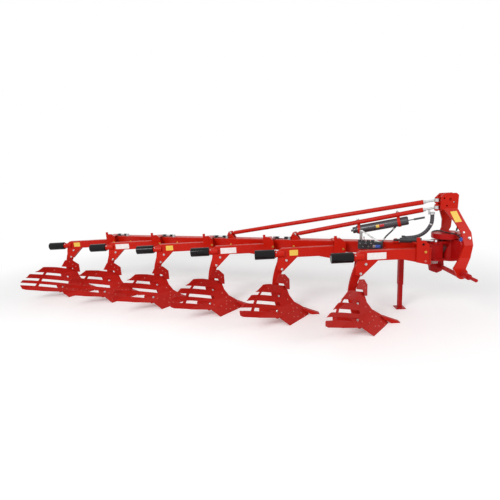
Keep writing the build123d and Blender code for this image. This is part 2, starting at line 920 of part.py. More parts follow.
# Hub of the headstock: a drum with the fork plates, the cross plate and the crossbar's lug
with BuildPart() as hub:
    with BuildSketch(flat_plane(place(hub_x, swivel_y, hub_bottom))):
        Circle(hub_radius)
    extrude(amount=hub_top - hub_bottom)
    with BuildSketch(flat_plane(place(disc_x, swivel_y, hub_top))):
        Circle(disc_radius)
    extrude(amount=disc_thickness)
    with BuildSketch(Plane(origin=swivel_hose[0], z_dir=tuple(swivel_hose[0] - swivel_hose[1]))):
        Circle(hose_boss_radius)
    extrude(amount=hose_foot_length)
    left_edge = [(plate_inside(z), z) for z in cross_plate_levels]
    right_edge = [(-y, z) for y, z in reversed(left_edge)]
    with BuildSketch(Plane(origin=place(cross_plate_rear, swivel_y, 0), x_dir=(0, 1, 0), z_dir=(1, 0, 0))):
        with BuildLine():
            Polyline(*left_edge, *right_edge, close=True)
        make_face()
    extrude(amount=cross_plate_front - cross_plate_rear)
    with BuildSketch(side_plane(0, swivel_y + lug_offset + lug_thickness / 2)):
        with BuildLine():
            Polyline(*lug_outline, close=True)
        make_face()
        with Locations((crossbar_x, crossbar_z)):
            Circle(crossbar_radius + fit_gap, mode=Mode.SUBTRACT)
    extrude(amount=lug_thickness)
    for level in fork_levels:
        with BuildSketch(flat_plane(swivel_point + Vector(0, 0, level))):
            Circle(fork_radius)
            with Locations(((hub_x - swivel_x) / 2, 0)):
                Rectangle(hub_x - swivel_x, 2 * fork_radius)
            if level > knuckle_middle:
                with Locations((lever_point.X - swivel_point.X, lever_point.Y - swivel_point.Y)):
                    Circle(rod_eye_radius + lever_rim)
        extrude(amount=fork_plate)
    with BuildSketch(flat_plane(lever_point + Vector(0, 0, fork_levels[0] + fork_plate))):
        Circle(rod_pin_radius)
    extrude(amount=cylinder_height + rod_eye_height / 2 + rod_pin_over - fork_levels[0] - fork_plate)
    with BuildSketch(flat_plane(swivel_point + Vector(0, 0, fork_levels[1]))):
        Circle(swivel_pin_radius)
    extrude(amount=knuckle_height + 2 * (fork_gap + fork_plate), mode=Mode.SUBTRACT)
finish(hub.part, "headstock_hub")
cord(swivel_hose, swivel_hose_diameter, "swivel_hose")

# Lower link pins: a head inside the foot, a shoulder outside it and the pin itself
foot_inside = foot_offset - side_plate_thickness / 2 - fit_gap
foot_outside = foot_offset + side_plate_thickness / 2 + fit_gap
shoulder_y = shoulder_span / 2
pin_steps = [
    (link_head_radius, foot_inside - link_head_length, foot_inside),
    (link_pin_radius, foot_inside, foot_outside),
    (shoulder_radius, foot_outside, shoulder_y),
    (lower_pin_diameter / 2, shoulder_y, shoulder_y + lower_pin_length),
]
for side, name in ((-1, "right"), (1, "left")):
    with BuildPart() as link_pin:
        for radius, start, end in pin_steps:
            middle = place(lower_pin_x, swivel_y + side * start, lower_pin_z)
            with BuildSketch(Plane(origin=middle, x_dir=(1, 0, 0), z_dir=(0, side, 0))):
                Circle(radius)
            extrude(amount=end - start)
    finish(link_pin.part, "lower_link_pin_" + name)

# Lower crossbar between the feet, under the link pins' heads
with BuildPart() as crossbar:
    with BuildSketch(side_plane(0, swivel_y + foot_inside)):
        with Locations((crossbar_x, crossbar_z)):
            Circle(crossbar_radius)
    extrude(amount=2 * foot_inside)
    for side in (-1, 1):
        head_start = place(lower_pin_x, swivel_y + side * (foot_inside + fit_gap), lower_pin_z)
        with BuildSketch(Plane(origin=head_start, x_dir=(1, 0, 0), z_dir=(0, -side, 0))):
            Circle(link_head_radius + fit_gap)
        extrude(amount=link_head_length + 2 * fit_gap, mode=Mode.SUBTRACT)
finish(crossbar.part, "lower_crossbar")

# Stays: a tube with a cross eye at the beam, and a screwed eye with its nut at the mast
stays = [
    ("upper", upper_stay_x, upper_stay_top_z),
    ("lower", lower_stay_x, lower_stay_top_z),
]
stay_ends = []
for name, foot_x, top_z in stays:
    top = swivel_point + Vector(0, 0, top_z)
    foot = place(foot_x, beam_y(foot_x), beam_top + stay_foot_rise)
    along = (foot - top).normalized()
    tube_start = top + along * stay_neck_length
    tube_length = (foot - top).length - stay_neck_length - stay_foot_neck
    with BuildPart() as stay:
        with BuildSketch(Plane(origin=foot - beam_left * stay_foot_width / 2, z_dir=tuple(beam_left))):
            Circle(stay_eye_radius)
        extrude(amount=stay_foot_width)
        with BuildSketch(Plane(origin=tube_start, z_dir=tuple(along))):
            Circle(stay_diameter / 2)
        extrude(amount=tube_length)
        with BuildSketch(Plane(origin=tube_start, z_dir=tuple(along))):
            Circle(stay_neck_radius + fit_gap)
        extrude(amount=stay_thread_inside + fit_gap, mode=Mode.SUBTRACT)
        with BuildSketch(Plane(origin=tube_start + along * tube_length, z_dir=tuple(along))):
            Circle(stay_foot_neck_radius)
        extrude(amount=stay_foot_neck - stay_eye_radius / 2)
        with BuildSketch(Plane(origin=foot - beam_left * stay_foot_width, z_dir=tuple(beam_left))):
            Circle(stay_pin_radius)
        extrude(amount=2 * stay_foot_width, mode=Mode.SUBTRACT)
    finish(stay.part, "stay_" + name)
    with BuildPart() as stay_end:
        with BuildSketch(flat_plane(top - Vector(0, 0, stay_eye_height / 2))):
            Circle(stay_eye_radius)
        extrude(amount=stay_eye_height)
        with BuildSketch(Plane(origin=top + along * stay_eye_radius / 2, z_dir=tuple(along))):
            Circle(stay_neck_radius)
        extrude(amount=stay_neck_length + stay_thread_inside - stay_eye_radius / 2)
        with BuildSketch(Plane(origin=tube_start - along * (stay_nut_length + fit_gap), z_dir=tuple(along))):
            RegularPolygon(stay_nut_radius, 6)
        extrude(amount=stay_nut_length)
        with BuildSketch(flat_plane(top - Vector(0, 0, stay_eye_height))):
            Circle(stay_pin_radius + stay_play)
        extrude(amount=2 * stay_eye_height, mode=Mode.SUBTRACT)
    stay_ends.append(stay_end.part)
    with BuildPart() as stay_bracket:
        for side in (-1, 1):
            plate_y = side * (stay_foot_width / 2 + stay_play + stay_lug_plate / 2) + stay_lug_plate / 2
            lug_plane = Plane(
                origin=foot + beam_left * plate_y - Vector(0, 0, stay_foot_rise),
                x_dir=tuple(beam_forward),
                z_dir=tuple(-beam_left),
            )
            with BuildSketch(lug_plane):
                with BuildLine():
                    Polyline(
                        (-stay_lug_length / 2, fit_gap),
                        (stay_lug_length / 2, fit_gap),
                        (stay_eye_radius, stay_foot_rise),
                        (stay_eye_radius / 2, stay_foot_rise + stay_eye_radius),
                        (-stay_eye_radius / 2, stay_foot_rise + stay_eye_radius),
                        (-stay_eye_radius, stay_foot_rise),
                        close=True,
                    )
                make_face()
            extrude(amount=stay_lug_plate)
        pin_reach = stay_foot_width / 2 + stay_play + stay_lug_plate + pin_over
        with BuildSketch(Plane(origin=foot - beam_left * pin_reach, z_dir=tuple(beam_left))):
            Circle(stay_pin_radius - fit_gap)
        extrude(amount=2 * pin_reach)
    finish(stay_bracket.part, "stay_bracket_" + name)
with BuildPart() as screwed_eyes:
    for stay_end_part in stay_ends:
        add(stay_end_part)
finish(screwed_eyes.part, "stay_ends")

# Accumulator hung below the lower stay: a cap and a knob behind, a filling neck ahead, a port below
lower_top = swivel_point + Vector(0, 0, lower_stay_top_z)
lower_foot = place(lower_stay_x, beam_y(lower_stay_x), beam_top + stay_foot_rise)
along = (lower_top - lower_foot).normalized()
tank_middle = lower_foot + (lower_top - lower_foot) * accumulator_share - Vector(0, 0, accumulator_drop)
tank_start = tank_middle - along * accumulator_length / 2
tank_end = tank_middle + along * accumulator_length / 2
tank_hose = route([(436, 284, 357), (402, 276, 320), (358, 262, 289), (316, 248, 256), (286, 238, 216)])
tank_steps = [
    (tank_cap_radius, tank_start, -tank_cap_length),
    (tank_knob_radius, tank_start, -tank_cap_length - tank_knob_length),
    (tank_neck_radius, tank_end, tank_neck_length),
    (tank_sleeve_radius, tank_end + along * tank_neck_length, tank_sleeve_length),
]
with BuildPart() as accumulator:
    with BuildSketch(Plane(origin=tank_start, z_dir=tuple(along))):
        Circle(accumulator_diameter / 2)
    extrude(amount=accumulator_length)
    chamfer(accumulator.edges().filter_by(GeomType.CIRCLE), tank_chamfer)
    for radius, step_start, step_length in tank_steps:
        with BuildSketch(Plane(origin=step_start, z_dir=tuple(along))):
            Circle(radius)
        extrude(amount=step_length)
    with BuildSketch(Plane(origin=tank_hose[0], z_dir=tuple(tank_hose[0] - tank_hose[1]))):
        Circle(tank_hose_diameter / 2 + hose_port_over)
    extrude(amount=tank_port_length)
finish(accumulator.part, "accumulator")

with BuildPart() as clamps:
    for clamp_place in clamp_places:
        tank_point = tank_middle + along * clamp_place
        stay_point = tank_point + Vector(0, 0, accumulator_drop)
        clamp_origin = tank_point - along * clamp_width / 2
        clamp_plane = Plane(origin=clamp_origin, x_dir=tuple(beam_left), z_dir=tuple(along))
        rise = clamp_plane.to_local_coords(stay_point - along * clamp_width / 2)
        with BuildSketch(clamp_plane):
            Circle(accumulator_diameter / 2 + clamp_band)
            with Locations((rise.X, rise.Y)):
                Circle(stay_diameter / 2 + clamp_band)
            with Locations((rise.X / 2, rise.Y / 2)):
                Rectangle(clamp_width, abs(rise.Y))
            Circle(accumulator_diameter / 2 + fit_gap, mode=Mode.SUBTRACT)
            with Locations((rise.X, rise.Y)):
                Circle(stay_diameter / 2 + fit_gap, mode=Mode.SUBTRACT)
        extrude(amount=clamp_width)
finish(clamps.part, "accumulator_clamps")

# Prop under the accumulator: an upright beside the rear clamp and a slanted bar down to the valve block
valve_seat = place(valve_x, beam_y(valve_x), valve_bottom) - beam_left * (beam_size / 2 + fit_gap + valve_width / 2)
rear_clamp = tank_middle + along * clamp_places[0]
prop_offset = accumulator_diameter / 2 + clamp_band + fit_gap + prop_thickness / 2
prop_head = rear_clamp + beam_forward * prop_shift - beam_left * prop_offset
prop_ends = [
    prop_head,
    valve_seat + beam_forward * prop_foot + Vector(0, 0, valve_top - valve_bottom + fit_gap),
]
with BuildPart() as prop:
    for end in prop_ends:
        with BuildSketch(Plane(origin=end, x_dir=tuple(beam_forward), z_dir=(0, 0, 1))):
            Rectangle(prop_width, prop_thickness)
    loft(ruled=True)
    with BuildSketch(Plane(origin=prop_head, x_dir=tuple(beam_forward), z_dir=(0, 0, 1))):
        Rectangle(prop_width, prop_thickness)
    extrude(amount=bolt_height + beam_top + fit_gap - prop_head.Z)
finish(prop.part, "accumulator_prop")

# Cylinder along the beam's top that turns the headstock through the lever on its fork
rod_plane = Plane(origin=barrel_start, x_dir=(0, 0, 1), z_dir=tuple(beam_forward))
barrel_plane_end = rod_plane.offset(cylinder_length)
with BuildPart() as barrel:
    with BuildSketch(rod_plane):
        Circle(cylinder_radius)
    extrude(amount=cylinder_length)
    with BuildSketch(rod_plane):
        Circle(cylinder_neck_radius)
    extrude(amount=rod_eye_radius / 2 - cylinder_neck)
    with BuildSketch(flat_plane(rear_pin_point - Vector(0, 0, rod_eye_height / 2))):
        Circle(rod_eye_radius)
    extrude(amount=rod_eye_height)
    with BuildSketch(flat_plane(rear_pin_point - Vector(0, 0, rod_eye_height / 2))):
        Circle(rod_pin_radius + fit_gap)
    extrude(amount=rod_eye_height, mode=Mode.SUBTRACT)
    with BuildSketch(barrel_plane_end):
        Circle(rod_radius + rod_fit)
    extrude(amount=-rod_inside - rod_bottom_room, mode=Mode.SUBTRACT)
finish(barrel.part, "swivel_cylinder_barrel")

with BuildPart() as rod:
    with BuildSketch(barrel_plane_end.offset(-rod_inside)):
        Circle(rod_radius)
    extrude(amount=(axis_point - barrel_plane_end.origin).length + rod_inside - rod_eye_radius / 2)
    with BuildSketch(flat_plane(axis_point - Vector(0, 0, rod_eye_height / 2))):
        Circle(rod_eye_radius)
    extrude(amount=rod_eye_height)
    with BuildSketch(flat_plane(axis_point - Vector(0, 0, rod_eye_height / 2))):
        Circle(rod_pin_radius + rod_pin_fit)
    extrude(amount=rod_eye_height, mode=Mode.SUBTRACT)
finish(rod.part, "swivel_cylinder_rod")

with BuildPart() as cylinder_bracket:
    seat_level = beam_top + fit_gap
    seat = rear_pin_point + beam_left * cylinder_seat_shift - Vector(0, 0, cylinder_height - seat_level)
    with BuildSketch(Plane(origin=seat, x_dir=tuple(beam_forward), z_dir=(0, 0, 1))):
        Rectangle(cylinder_seat_length, cylinder_seat_width)
    extrude(amount=cylinder_height - rod_eye_height / 2 - fit_gap - seat_level)
    with BuildSketch(flat_plane(rear_pin_point - Vector(0, 0, rod_eye_height / 2 + 2))):
        Circle(rod_pin_radius)
    extrude(amount=rod_eye_height + pin_over)
finish(cylinder_bracket.part, "swivel_cylinder_bracket")

# Valve block on the beam's right face, with a row of round caps on top and a hose port
with BuildPart() as valve:
    with BuildSketch(Plane(origin=valve_seat, x_dir=tuple(beam_forward), z_dir=(0, 0, 1))):
        Rectangle(valve_length, valve_width)
    extrude(amount=valve_top - valve_bottom)
    cap_seat = valve_seat + Vector(0, 0, valve_top - valve_bottom)
    with BuildSketch(Plane(origin=cap_seat, x_dir=tuple(beam_forward), z_dir=(0, 0, 1))):
        with Locations((-valve_pitch, 0)):
            with GridLocations(valve_pitch, 1, valve_count, 1):
                Circle(valve_cap_radius)
    extrude(amount=valve_cap_height)
    with BuildSketch(Plane(origin=tank_hose[-1], z_dir=tuple(tank_hose[-1] - tank_hose[-2]))):
        Circle(tank_hose_diameter / 2 + hose_port_over)
    extrude(amount=tank_port_length)
finish(valve.part, "valve_block")
cord(tank_hose, tank_hose_diameter, "tank_hose")

# Bundle of hoses from a clip on the lower stay's end down to a gland on the beam:
# run back along the beam, shift to its left, height
bundle_x = 815.0
bundle_y = 128.0
bundle_points = [(0, 0, 548), (-4, 2, 480), (3, -2, 404), (66, 0, 300), (176, 3, 241), (286, 0, 238)]
bundle_top = place(bundle_x, bundle_y, 0)
bundle = [bundle_top - beam_forward * back + beam_left * left + Vector(0, 0, z) for back, left, z in bundle_points]
cord(bundle, bundle_diameter, "hose_bundle")

gland_way = (bundle[-1] - bundle[-2]).normalized()
gland_radius = bundle_diameter / 2 + hose_cap_wall
gland_foot = bundle[-1] + gland_way * gland_length / 2
with BuildPart() as gland:
    with BuildSketch(Plane(origin=bundle[-1], z_dir=tuple(gland_way))):
        Circle(gland_radius)
    extrude(amount=gland_length)
    gland_seat = Vector(gland_foot.X, gland_foot.Y, bolt_height + beam_top + fit_gap)
    with BuildSketch(Plane(origin=gland_seat, x_dir=tuple(beam_forward), z_dir=(0, 0, 1))):
        Rectangle(gland_length - 6, 2 * gland_radius)
    extrude(amount=gland_foot.Z - gland_seat.Z)
finish(gland.part, "hose_gland")

# Clip for the bundle's upper end: a ring with a strap up to the screwed eye's neck
clip_height = 26.0
clip_strap = 17.0
with BuildPart() as clip:
    clip_base = bundle[0] - Vector(0, 0, clip_height)
    stay_way = (lower_foot - lower_top).normalized()
    strap_side = stay_way * (gland_radius + clip_strap / 2 - 2)
    neck_level = lower_top.Z + stay_way.Z * (bundle[0] + strap_side - lower_top).length
    with BuildSketch(flat_plane(clip_base)):
        Circle(gland_radius)
    extrude(amount=clip_height)
    with BuildSketch(flat_plane(clip_base + Vector(strap_side.X, strap_side.Y, 0))):
        Rectangle(clip_strap, clip_strap)
    extrude(amount=neck_level - clip_base.Z)
    with BuildSketch(Plane(origin=bundle[1], z_dir=tuple(bundle[0] - bundle[1]))):
        Circle(bundle_diameter / 2 + fit_gap)
    extrude(amount=(bundle[0] - bundle[1]).length + clip_height, mode=Mode.SUBTRACT)
    with BuildSketch(Plane(origin=lower_top, z_dir=tuple(lower_foot - lower_top))):
        Circle(stay_neck_radius + fit_gap)
    extrude(amount=stay_neck_length, mode=Mode.SUBTRACT)
finish(clip.part, "hose_clip")

# Spindles that set the furrow width: a rod with a nut between two blocks on the beam
with BuildPart() as spindles:
    for k in range(2, body_count):
        ends = []
        for x in (spindle_rear, spindle_front):
            on_beam = body_place(k, x, beam_y(x), beam_top + fit_gap) - beam_left * spindle_offset
            ends.append(on_beam + Vector(0, 0, spindle_rise))
            with BuildSketch(Plane(origin=on_beam, x_dir=tuple(beam_forward), z_dir=(0, 0, 1))):
                Rectangle(spindle_block, spindle_block)
            extrude(amount=spindle_rise + spindle_block / 2)
        span = (ends[1] - ends[0]).length
        with BuildSketch(Plane(origin=ends[0], z_dir=tuple(beam_forward))):
            Circle(spindle_radius)
        extrude(amount=span)
        with BuildSketch(Plane(origin=(ends[0] + ends[1]) / 2, z_dir=tuple(beam_forward))):
            RegularPolygon(spindle_nut_radius, 6)
        extrude(amount=spindle_nut_length / 2, both=True)
finish(spindles.part, "width_spindles")

# Parking stand: a sleeve bolted to the beam's left face and a leg that slides in it
beam_left_face = beam_size / 2 / cos(beam_slant) + fit_gap
sleeve_bottom = stand_sleeve_top - stand_sleeve_length
sleeve_near = stand_y - stand_tube / 2
leg_size = stand_tube - 2 * (stand_wall + stand_play)
with BuildPart() as stand_sleeve:
    with BuildSketch(flat_plane(place(stand_x, stand_y, sleeve_bottom))):
        Rectangle(stand_tube, stand_tube)
        Rectangle(stand_tube - 2 * stand_wall, stand_tube - 2 * stand_wall, mode=Mode.SUBTRACT)
    extrude(amount=stand_sleeve_length)
    rear_x = stand_x - stand_tube / 2
    front_x = stand_x + stand_tube / 2
    with BuildSketch(flat_plane(place(0, 0, beam_top - beam_size + 20))):
        with BuildLine():
            Polyline(
                (rear_x, beam_y(rear_x) + beam_left_face),
                (front_x, beam_y(front_x) + beam_left_face),
                (front_x, sleeve_near + 1),
                (rear_x, sleeve_near + 1),
                close=True,
            )
        make_face()
    extrude(amount=beam_size - 40)
finish(stand_sleeve.part, "stand_sleeve")

with BuildPart() as stand_leg:
    with BuildSketch(flat_plane(place(stand_x, stand_y, ground))):
        Rectangle(stand_foot_width, stand_foot_width)
    extrude(amount=stand_foot_thickness)
    with BuildSketch(flat_plane(place(stand_x, stand_y, ground))):
        Rectangle(leg_size, leg_size)
    extrude(amount=sleeve_bottom + stand_leg_inside - ground)
finish(stand_leg.part, "stand_leg")
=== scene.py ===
import json
import math

import bpy
from mathutils import Matrix, Vector
from mathutils.bvhtree import BVHTree

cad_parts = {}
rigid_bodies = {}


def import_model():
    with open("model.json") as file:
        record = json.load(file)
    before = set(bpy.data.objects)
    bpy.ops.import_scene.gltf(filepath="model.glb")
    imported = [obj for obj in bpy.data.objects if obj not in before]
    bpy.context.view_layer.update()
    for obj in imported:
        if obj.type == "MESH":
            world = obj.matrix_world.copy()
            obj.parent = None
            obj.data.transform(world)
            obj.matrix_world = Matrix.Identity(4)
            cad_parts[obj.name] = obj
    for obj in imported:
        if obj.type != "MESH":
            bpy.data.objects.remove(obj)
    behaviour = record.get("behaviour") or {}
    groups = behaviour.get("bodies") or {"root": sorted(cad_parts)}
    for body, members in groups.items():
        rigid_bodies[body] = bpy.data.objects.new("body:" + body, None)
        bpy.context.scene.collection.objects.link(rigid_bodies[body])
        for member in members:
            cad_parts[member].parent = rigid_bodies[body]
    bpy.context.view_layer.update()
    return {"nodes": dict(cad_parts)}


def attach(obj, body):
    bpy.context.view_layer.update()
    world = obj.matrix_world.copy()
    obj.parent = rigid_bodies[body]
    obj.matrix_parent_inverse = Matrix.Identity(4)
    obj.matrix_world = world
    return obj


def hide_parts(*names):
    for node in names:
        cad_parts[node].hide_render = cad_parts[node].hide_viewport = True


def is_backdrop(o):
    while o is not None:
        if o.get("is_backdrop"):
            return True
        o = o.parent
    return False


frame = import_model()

bpy.ops.object.select_all(action="DESELECT")

# The camera stands at a grown person's eye height beside the first body and
# looks square across the row, a little downwards and leaning a few degrees.
eye = Vector((0.795, -4.806, 1.818))
eye_turn = 2.275
eye_tilt = 78.17
eye_lean = -3.39
camera_data = bpy.data.cameras.new("camera")
camera_data.lens = 25.2
camera_data.sensor_width = 36.0
camera = bpy.data.objects.new("camera", camera_data)
bpy.context.collection.objects.link(camera)
camera.matrix_world = (
    Matrix.Translation(eye)
    @ Matrix.Rotation(math.radians(eye_turn), 4, "Z")
    @ Matrix.Rotation(math.radians(eye_tilt), 4, "X")
    @ Matrix.Rotation(math.radians(eye_lean), 4, "Z")
)
bpy.context.scene.camera = camera
bpy.context.scene.view_settings.view_transform = "Standard"

# Hoses: black rubber over steel braid, extruded and then crimped into plated ferrules.
# Both ends of each are screwed into the plough, so their lengths are fixed: the routes are
# the part's own points, in mm from the first body's upper leg bolt.
first_bolt = Vector((1.982, -0.759, 0.737))


def place(x, y, z):
    """A point in metres from its distances in mm to the first body's upper leg bolt."""
    return first_bolt + Vector((x, y, z)) / 1000


def linear(hex_colour):
    """An sRGB hex colour as the linear values that a shader takes."""
    channels = [int(hex_colour[i : i + 2], 16) / 255 for i in (1, 3, 5)]
    return [c / 12.92 if c <= 0.04045 else ((c + 0.055) / 1.055) ** 2.4 for c in channels] + [1.0]


def node(tree, kind, inputs=None, **settings):
    """Adds one node with its settings; each input takes a value or another node's output."""
    made = tree.nodes.new(kind)
    for name, value in settings.items():
        setattr(made, name, value)
    for name, value in (inputs or {}).items():
        if isinstance(value, bpy.types.NodeSocket):
            tree.links.new(value, made.inputs[name])
        else:
            made.inputs[name].default_value = value
    return made


def new_finish(name, metallic=0.0, specular=0.5):
    """A new material: itself, its tree, its shader and its Object coordinates."""
    finish = bpy.data.materials.new(name)
    finish.use_nodes = True
    tree = finish.node_tree
    shader = tree.nodes["Principled BSDF"]
    shader.inputs["Metallic"].default_value = metallic
    shader.inputs["Specular IOR Level"].default_value = specular
    return finish, tree, shader, node(tree, "ShaderNodeTexCoord").outputs["Object"]


def two_tone(tree, shader, points, colours, patch, roughness):
    """Drifts the colour and the gloss between two values in patches of that many metres."""
    noise_low = 0.32
    noise_high = 0.68
    drift = node(tree, "ShaderNodeTexNoise", {"Vector": points, "Scale": 1 / patch, "Detail": 3.0})
    amount = node(
        tree,
        "ShaderNodeMapRange",
        {"Value": drift.outputs["Fac"], "From Min": noise_low, "From Max": noise_high},
    ).outputs["Result"]
    colour = node(
        tree,
        "ShaderNodeMix",
        {"Factor": amount, 6: linear(colours[0]), 7: linear(colours[1])},
        data_type="RGBA",
    ).outputs[2]
    gloss = node(
        tree, "ShaderNodeMapRange", {"Value": amount, "To Min": roughness[0], "To Max": roughness[1]}
    ).outputs["Result"]
    tree.links.new(colour, shader.inputs["Base Color"])
    tree.links.new(gloss, shader.inputs["Roughness"])
    return colour, gloss


def waviness(tree, shader, points, spacing, height, normal=None):
    """Raises a fine uneven surface: bumps that far apart and that high, in metres."""
    grain = node(tree, "ShaderNodeTexNoise", {"Vector": points, "Scale": 1 / spacing, "Detail": 2.0})
    inputs = {"Height": grain.outputs["Fac"], "Distance": height, "Strength": 1.0}
    if normal is not None:
        inputs["Normal"] = normal
    bump = node(tree, "ShaderNodeBump", inputs)
    tree.links.new(bump.outputs["Normal"], shader.inputs["Normal"])


# Hose rubber keeps the print of its wrapping cloth, so it is a dull, uneven black. The cloth's
# threads are 1 mm apart; 6 mm shows in the picture.
rubber, tree, shader, points = new_finish("extruded_hose_rubber", specular=0.4)
two_tone(tree, shader, points, ("#19191B", "#232225"), patch=0.04, roughness=(0.42, 0.6))
waviness(tree, shader, points, spacing=0.006, height=0.0004)

# The bundle's guard is a moulded polyethylene spiral, greyer than the hoses and rubbed dull.
guard_plastic, tree, shader, points = new_finish("wound_guard_plastic", specular=0.45)
two_tone(tree, shader, points, ("#474349", "#585359"), patch=0.05, roughness=(0.4, 0.55))
waviness(tree, shader, points, spacing=0.012, height=0.0005)

# Barrel plated zinc: bright, slightly blue, with dull spots where parts rubbed together. Its
# crystals are far below 1 mm; 4 mm shows in the picture.
zinc, tree, shader, points = new_finish("zinc_plated_steel", metallic=1.0)
two_tone(tree, shader, points, ("#D2D4D8", "#BDBBB6"), patch=0.012, roughness=(0.24, 0.4))
waviness(tree, shader, points, spacing=0.004, height=0.0001)


def hose(name, route, thickness, finish):
    """A hose's NURBS curve along the route's points, and the points of its centre line."""
    shape = bpy.data.curves.new(name, "CURVE")
    shape.dimensions = "3D"
    shape.resolution_u = 12
    spline = shape.splines.new("NURBS")
    spline.points.add(len(route) - 1)
    for control, point in zip(spline.points, route):
        control.co = (*point, 1.0)
    spline.order_u = 3
    spline.use_endpoint_u = True
    made = bpy.data.objects.new(name, shape)
    bpy.context.collection.objects.link(made)
    bare = bpy.data.meshes.new_from_object(made)
    line = [v.co.copy() for v in bare.vertices]
    bpy.data.meshes.remove(bare)
    shape.bevel_depth = thickness / 2
    shape.bevel_resolution = 6
    shape.use_fill_caps = True
    shape.materials.append(finish)
    return made, line


def only(*pieces):
    """Selects just these pieces, the first one active."""
    bpy.ops.object.select_all(action="DESELECT")
    for piece in pieces:
        piece.select_set(True)
    bpy.context.view_layer.objects.active = pieces[0]


def closed(piece):
    """Turns a shape's faces outwards and smooths its round sides."""
    same_point = 0.00001
    round_below = 35
    only(piece)
    bpy.ops.object.mode_set(mode="EDIT")
    bpy.ops.mesh.select_all(action="SELECT")
    bpy.ops.mesh.remove_doubles(threshold=same_point)
    bpy.ops.mesh.normals_make_consistent(inside=False)
    bpy.ops.object.mode_set(mode="OBJECT")
    bpy.ops.object.shade_smooth_by_angle(angle=math.radians(round_below))
    return piece


def turned(name, profile, finish, sides=24):
    """A shape turned around Z: a disc drawn out ring by ring, each a radius and a height in mm."""
    bpy.ops.object.select_all(action="DESELECT")
    radius, height = profile[0]
    bpy.ops.mesh.primitive_circle_add(
        vertices=sides, radius=radius / 1000, fill_type="NGON", location=(0, 0, 0)
    )
    piece = bpy.context.object
    piece.name = name
    piece.data.transform(Matrix.Translation((0, 0, height / 1000)))
    bpy.ops.object.mode_set(mode="EDIT")
    bpy.ops.mesh.select_all(action="SELECT")
    for next_radius, next_height in profile[1:]:
        rise = (next_height - height) / 1000
        bpy.ops.mesh.extrude_region_move(TRANSFORM_OT_translate={"value": (0, 0, rise)})
        share = next_radius / radius
        bpy.ops.transform.resize(
            value=(share, share, 1), center_override=(0, 0, next_height / 1000)
        )
        radius, height = next_radius, next_height
    bpy.ops.object.mode_set(mode="OBJECT")
    piece.data.materials.append(finish)
    return closed(piece)


def joined(name, *pieces):
    """One piece made of several."""
    only(*pieces)
    if len(pieces) > 1:
        bpy.ops.object.join()
    pieces[0].name = name
    return pieces[0]


def copied(name, master, spots, body):
    """Copies of a master at each spot, joined as one piece that rides on a body."""
    copies = []
    for spot in spots:
        copy = master.copy()
        copy.data = master.data.copy()
        copy.data.transform(spot)
        bpy.context.collection.objects.link(copy)
        copies.append(copy)
    piece = joined(name, *copies)
    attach(piece, body)
    return piece


def facing(point, direction):
    """The place of a shape turned around Z, with its foot at the point and pointing that way."""
    turn = Vector(direction).to_track_quat("Z", "Y").to_matrix().to_4x4()
    return Matrix.Translation(point) @ turn


def ferrule(name, radius, length):
    """A crimped end, in mm: a skirt with pressed grooves and a hexagon behind it."""
    outside = radius + 2.6
    groove = radius + 1.2
    pitch = 6
    nut_foot = length - 11
    skirt = [(radius + 0.4, 0), (outside, 2)]
    ring = 2
    while ring + pitch < nut_foot - 1:
        skirt += [
            (outside, ring + 4),
            (groove, ring + 4.6),
            (groove, ring + 5.4),
            (outside, ring + pitch),
        ]
        ring += pitch
    skirt += [(outside, nut_foot), (radius, nut_foot + 1)]
    nut = turned(
        name + "_nut",
        [
            (radius + 3, nut_foot),
            (radius + 4.5, nut_foot + 1.5),
            (radius + 4.5, length - 1.5),
            (radius + 3, length),
        ],
        zinc,
        sides=6,
    )
    return joined(name, turned(name, skirt, zinc, sides=20), nut)


def ends_of(line, length):
    """Where the two ferrules of a hose stand: each that long in mm, and pointing out of the hose."""
    spots = []
    for run in (line, line[::-1]):
        out = (run[0] - run[2]).normalized()
        spots.append(facing(run[0] - out * length / 1000, out))
    return spots


def wound_band(name, line, radius, pitch, width, thickness, finish, trim):
    """A flat band wound round a hose's line; sizes in metres, trimmed at both ends."""
    lengths = [0.0]
    for a, b in zip(line, line[1:]):
        lengths.append(lengths[-1] + (b - a).length)
    start = trim + width / 2
    stretch = lengths[-1] - 2 * start
    turn_steps = 16
    outer_half = width * 0.42
    count = int(stretch / pitch * turn_steps)
    side = Vector((0.3, 0.9, 0.1))
    corners = []
    for i in range(count + 1):
        along = start + stretch * i / count
        j = max(k for k in range(len(lengths) - 1) if lengths[k] <= along)
        share = (along - lengths[j]) / (lengths[j + 1] - lengths[j])
        centre = line[j].lerp(line[j + 1], share)
        before = line[max(j - 1, 0)]
        after = line[min(j + 2, len(line) - 1)]
        tangent = (after - before).normalized()
        side = (side - tangent * side.dot(tangent)).normalized()
        across = tangent.cross(side)
        angle = 2 * math.pi * i / turn_steps
        out = side * math.cos(angle) + across * math.sin(angle)
        corners += [
            centre + out * radius - tangent * width / 2,
            centre + out * (radius + thickness) - tangent * outer_half,
            centre + out * (radius + thickness) + tangent * outer_half,
            centre + out * radius + tangent * width / 2,
        ]
    faces = [(0, 1, 2, 3), tuple(4 * count + c for c in (3, 2, 1, 0))]
    for i in range(count):
        for c in range(4):
            d = (c + 1) % 4
            faces.append((4 * i + c, 4 * i + d, 4 * i + 4 + d, 4 * i + 4 + c))
    mesh = bpy.data.meshes.new(name)
    mesh.from_pydata(corners, [], faces)
    piece = bpy.data.objects.new(name, mesh)
    bpy.context.collection.objects.link(piece)
    mesh.materials.append(finish)
    return closed(piece)


